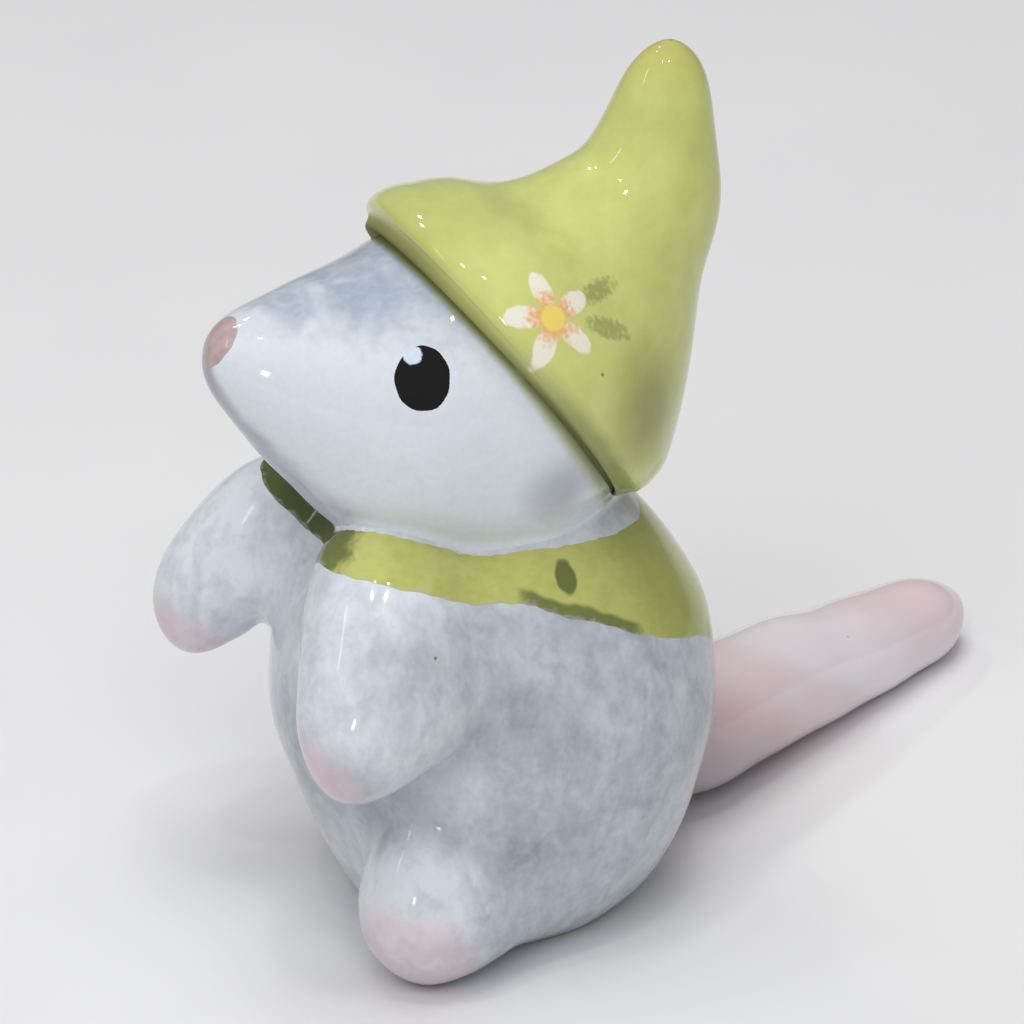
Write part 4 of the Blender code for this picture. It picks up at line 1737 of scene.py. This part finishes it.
@dataclass
class Studio:
    """Pale floor, soft lights and the camera.

    Attributes:
        turn: degrees of the camera from the front, towards the possum's left.
        tilt: degrees that it looks down.
        distance: how far off it stands, in millimetres.
        target: point that it is set out from.
        pixel: where that point lies in the picture.
        scale: pixels to a millimetre at that point.
        frame: size of the picture, in pixels.
        sensor: width of the camera's sensor, in millimetres.
        lamps: the lamps; the two wide ones light the figurine, the small ones make its glints.
        sky: strength of the even light from all round.
        half_floor: half the floor's width, in metres.
        floor_steps: steps across the floor.
        floor_drop: how far it lies under the feet, in metres, so that no two faces share a plane.
    """

    turn: float = 65.0
    tilt: float = 25.0
    distance: float = 400.0
    target: Point = (0.0, 0.0, 30.0)
    pixel: Tuple[float, float] = (490.0, 498.0)
    scale: float = 14.5
    frame: float = 1024.0
    sensor: float = 36.0
    lamps: Tuple[Lamp, ...] = (
        Lamp("key", ((25.0, 42.0), (85.0, 42.0)), 0.4, 0.41, False),
        Lamp("overhead", ((-90.0, 70.0), (90.0, 70.0)), 0.4, 0.4, False),
        Lamp("window", ((46.0, 13.0), (48.5, 21.0)), 0.06, 0.04),
        Lamp("left", ((-63.4, 54.2), (-67.6, 52.8)), 0.042, 0.031),
        Lamp("far_left", ((-80.4, 50.2), (-84.6, 48.8)), 0.042, 0.031),
        Lamp("sky", ((-4.0, 32.0), (-20.0, 46.0)), 0.03, 0.02),
        Lamp("high_spot", ((18.5, 71.0), (27.5, 71.0)), 0.03, 0.045),
        Lamp("side_spot", ((77.0, 72.0), (87.0, 73.0)), 0.03, 0.038),
    )
    sky: float = 0.25
    half_floor: float = 2.5
    floor_steps: int = 8
    floor_drop: float = 0.00003

    def camera(self) -> None:
        """Camera at the picture's angle, aimed so that the target falls on its pixel."""
        back = aim(self.turn, self.tilt)
        right = np.array((math.cos(math.radians(self.turn)), math.sin(math.radians(self.turn)), 0.0))
        up = np.cross(back, right)
        half = self.frame / 2
        middle = np.array(self.target) + right * ((half - self.pixel[0]) / self.scale)
        middle = middle - up * ((half - self.pixel[1]) / self.scale)
        lens = bpy.data.cameras.new("camera")
        lens.sensor_width = self.sensor
        lens.sensor_fit = "HORIZONTAL"
        lens.lens = self.sensor * self.distance * self.scale / self.frame
        lens.clip_start = 0.01
        camera = bpy.data.objects.new("camera", lens)
        camera.location = Vector((middle + back * self.distance) * MM)
        camera.rotation_euler = Vector(back).to_track_quat("Z", "Y").to_euler()
        bpy.context.scene.collection.objects.link(camera)
        bpy.context.scene.camera = camera

    def floor(self) -> None:
        """Wide pale floor with a faint grain."""
        count = self.floor_steps + 1
        places = np.linspace(-self.half_floor, self.half_floor, count)
        x, y = np.meshgrid(places, places, indexing="ij")
        points = np.stack((x, y, np.full(x.shape, -self.floor_drop)), -1).reshape(-1, 3)
        number = np.arange(count**2).reshape(count, count)
        corners = (number[:-1, :-1], number[1:, :-1], number[1:, 1:], number[:-1, 1:])
        mesh = bpy.data.meshes.new("floor")
        mesh.from_pydata(points.tolist(), [], np.stack(corners, -1).reshape(-1, 4).tolist())
        floor = bpy.data.objects.new("floor", mesh)
        bpy.context.scene.collection.objects.link(floor)
        bench = Bench("floor_paper")
        grain = bench.cloud(bench.place(), 30.0, 4.0)
        bench.feed(bench.shader.inputs["Base Color"], bench.mix(grain, *FLOOR_WHITES))
        bench.shader.inputs["Roughness"].default_value = 0.8
        mesh.materials.append(bench.material)

    def world(self) -> None:
        """Even grey-white light from all round, seen as a pale backdrop."""
        world = bpy.data.worlds.new("studio")
        world.use_nodes = True
        background = world.node_tree.nodes["Background"]
        background.inputs["Color"].default_value = (1.0, 1.0, 1.0, 1.0)
        background.inputs["Strength"].default_value = self.sky
        bpy.context.scene.world = world

    def build(self) -> None:
        """Set the stage."""
        self.floor()
        self.world()
        for lamp in self.lamps:
            lamp.hang()
        self.camera()
        bpy.context.scene.view_settings.view_transform = "Standard"


def limbs() -> List[Limb]:
    """Arms, legs and tail in the order in which they are luted on.

    Returns:
        The limbs.
    """
    tail = Limb("tail", "tail_glaze", (
        (-1.0, 8.0, 7.4, 0, 0),
        (-5.5, 18.0, 5.9, 4.7, 5.2, 5.1),
        (-10.0, 26.8, 5.0, 4.5, 4.9, 4.7),
        (-15.2, 37.0, 3.7, 4.1, 4.1, 4.0),
        (-18.7, 44.0, 3.0, 3.6, 3.5, 3.5),
        (-21.2, 49.2, 2.6, 0, 0),
    ), (4.0, 4.0), 150, 150)
    left_leg = Limb("left_leg", "leg_glaze", (
        (7.0, 3.0, 6.6, 0, 0),
        (8.7, -3.0, 6.4, 5.0, 6.5, 5.6),
        (10.4, -8.8, 5.5, 5.2, 6.8, 5.5),
        (11.4, -11.8, 4.7, 4.4, 5.5, 4.8),
        (12.0, -14.4, 4.0, 0, 0),
    ), (2.8, 1.6))
    right_leg = Limb("right_leg", "leg_glaze", (
        (-7.5, 10.5, 6.6, 0, 0),
        (-9.9, 4.6, 6.4, 5.1, 6.5, 5.7),
        (-11.4, -0.6, 5.5, 5.1, 6.6, 5.5),
        (-12.1, -3.6, 4.7, 4.4, 5.4, 4.8),
        (-12.5, -6.6, 4.0, 0, 0),
    ), (2.8, 1.6))
    left_arm = Limb("left_arm", "arm_glaze", (
        (1.8, -8.0, 30.3, 0, 0),
        (5.2, -9.8, 28.0, 5.0, 5.7, 8.2),
        (8.0, -11.4, 25.8, 5.6, 5.9, 10.4),
        (10.5, -13.2, 23.2, 5.2, 5.5, 9.5),
        (12.3, -15.2, 20.0, 4.5, 4.6, 5.2),
        (12.9, -17.0, 16.5, 0, 0),
    ), (3.6, 0.7))
    right_arm = Limb("right_arm", "arm_glaze", (
        (-5.0, 0.0, 24.6, 0, 0),
        (-8.4, -5.4, 25.2, 6.7, 6.6, 5.6),
        (-10.5, -10.8, 24.6, 6.0, 6.0, 4.8),
        (-12.1, -14.5, 22.3, 4.8, 4.8, 4.2),
        (-12.6, -16.7, 19.4, 3.8, 3.8, 3.6),
        (-12.6, -17.9, 16.4, 0, 0),
    ), (3.6, 0.7))
    return [tail, left_leg, right_leg, left_arm, right_arm]


def main() -> None:
    """Build the figurine piece by piece, then the studio."""
    logging.basicConfig(level=logging.INFO, format="%(message)s")
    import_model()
    torso, head, hat, scarf = Torso(), Head(), Hat(), Scarf()
    rolled = limbs()
    rolls = {"body": torso.roll(), **{limb.node: limb.roll() for limb in rolled}, "head": head.roll()}
    blends = {**{limb.node: limb.blend for limb in rolled}, "head": head.blend}
    clay = Clay(rolls, blends)
    torso.build(clay)
    dress = {
        "arm_glaze": GreyWash("arm_wash").dress(),
        "leg_glaze": GreyWash("leg_wash").dress(),
        "tail_glaze": TailPink("tail_pink").dress(),
    }
    for limb in rolled:
        limb.build(clay, dress[limb.slot])
    head.build(clay, hat)
    hat.build(clay)
    scarf.build(clay)
    Studio().build()


if __name__ == "__main__":
    main()
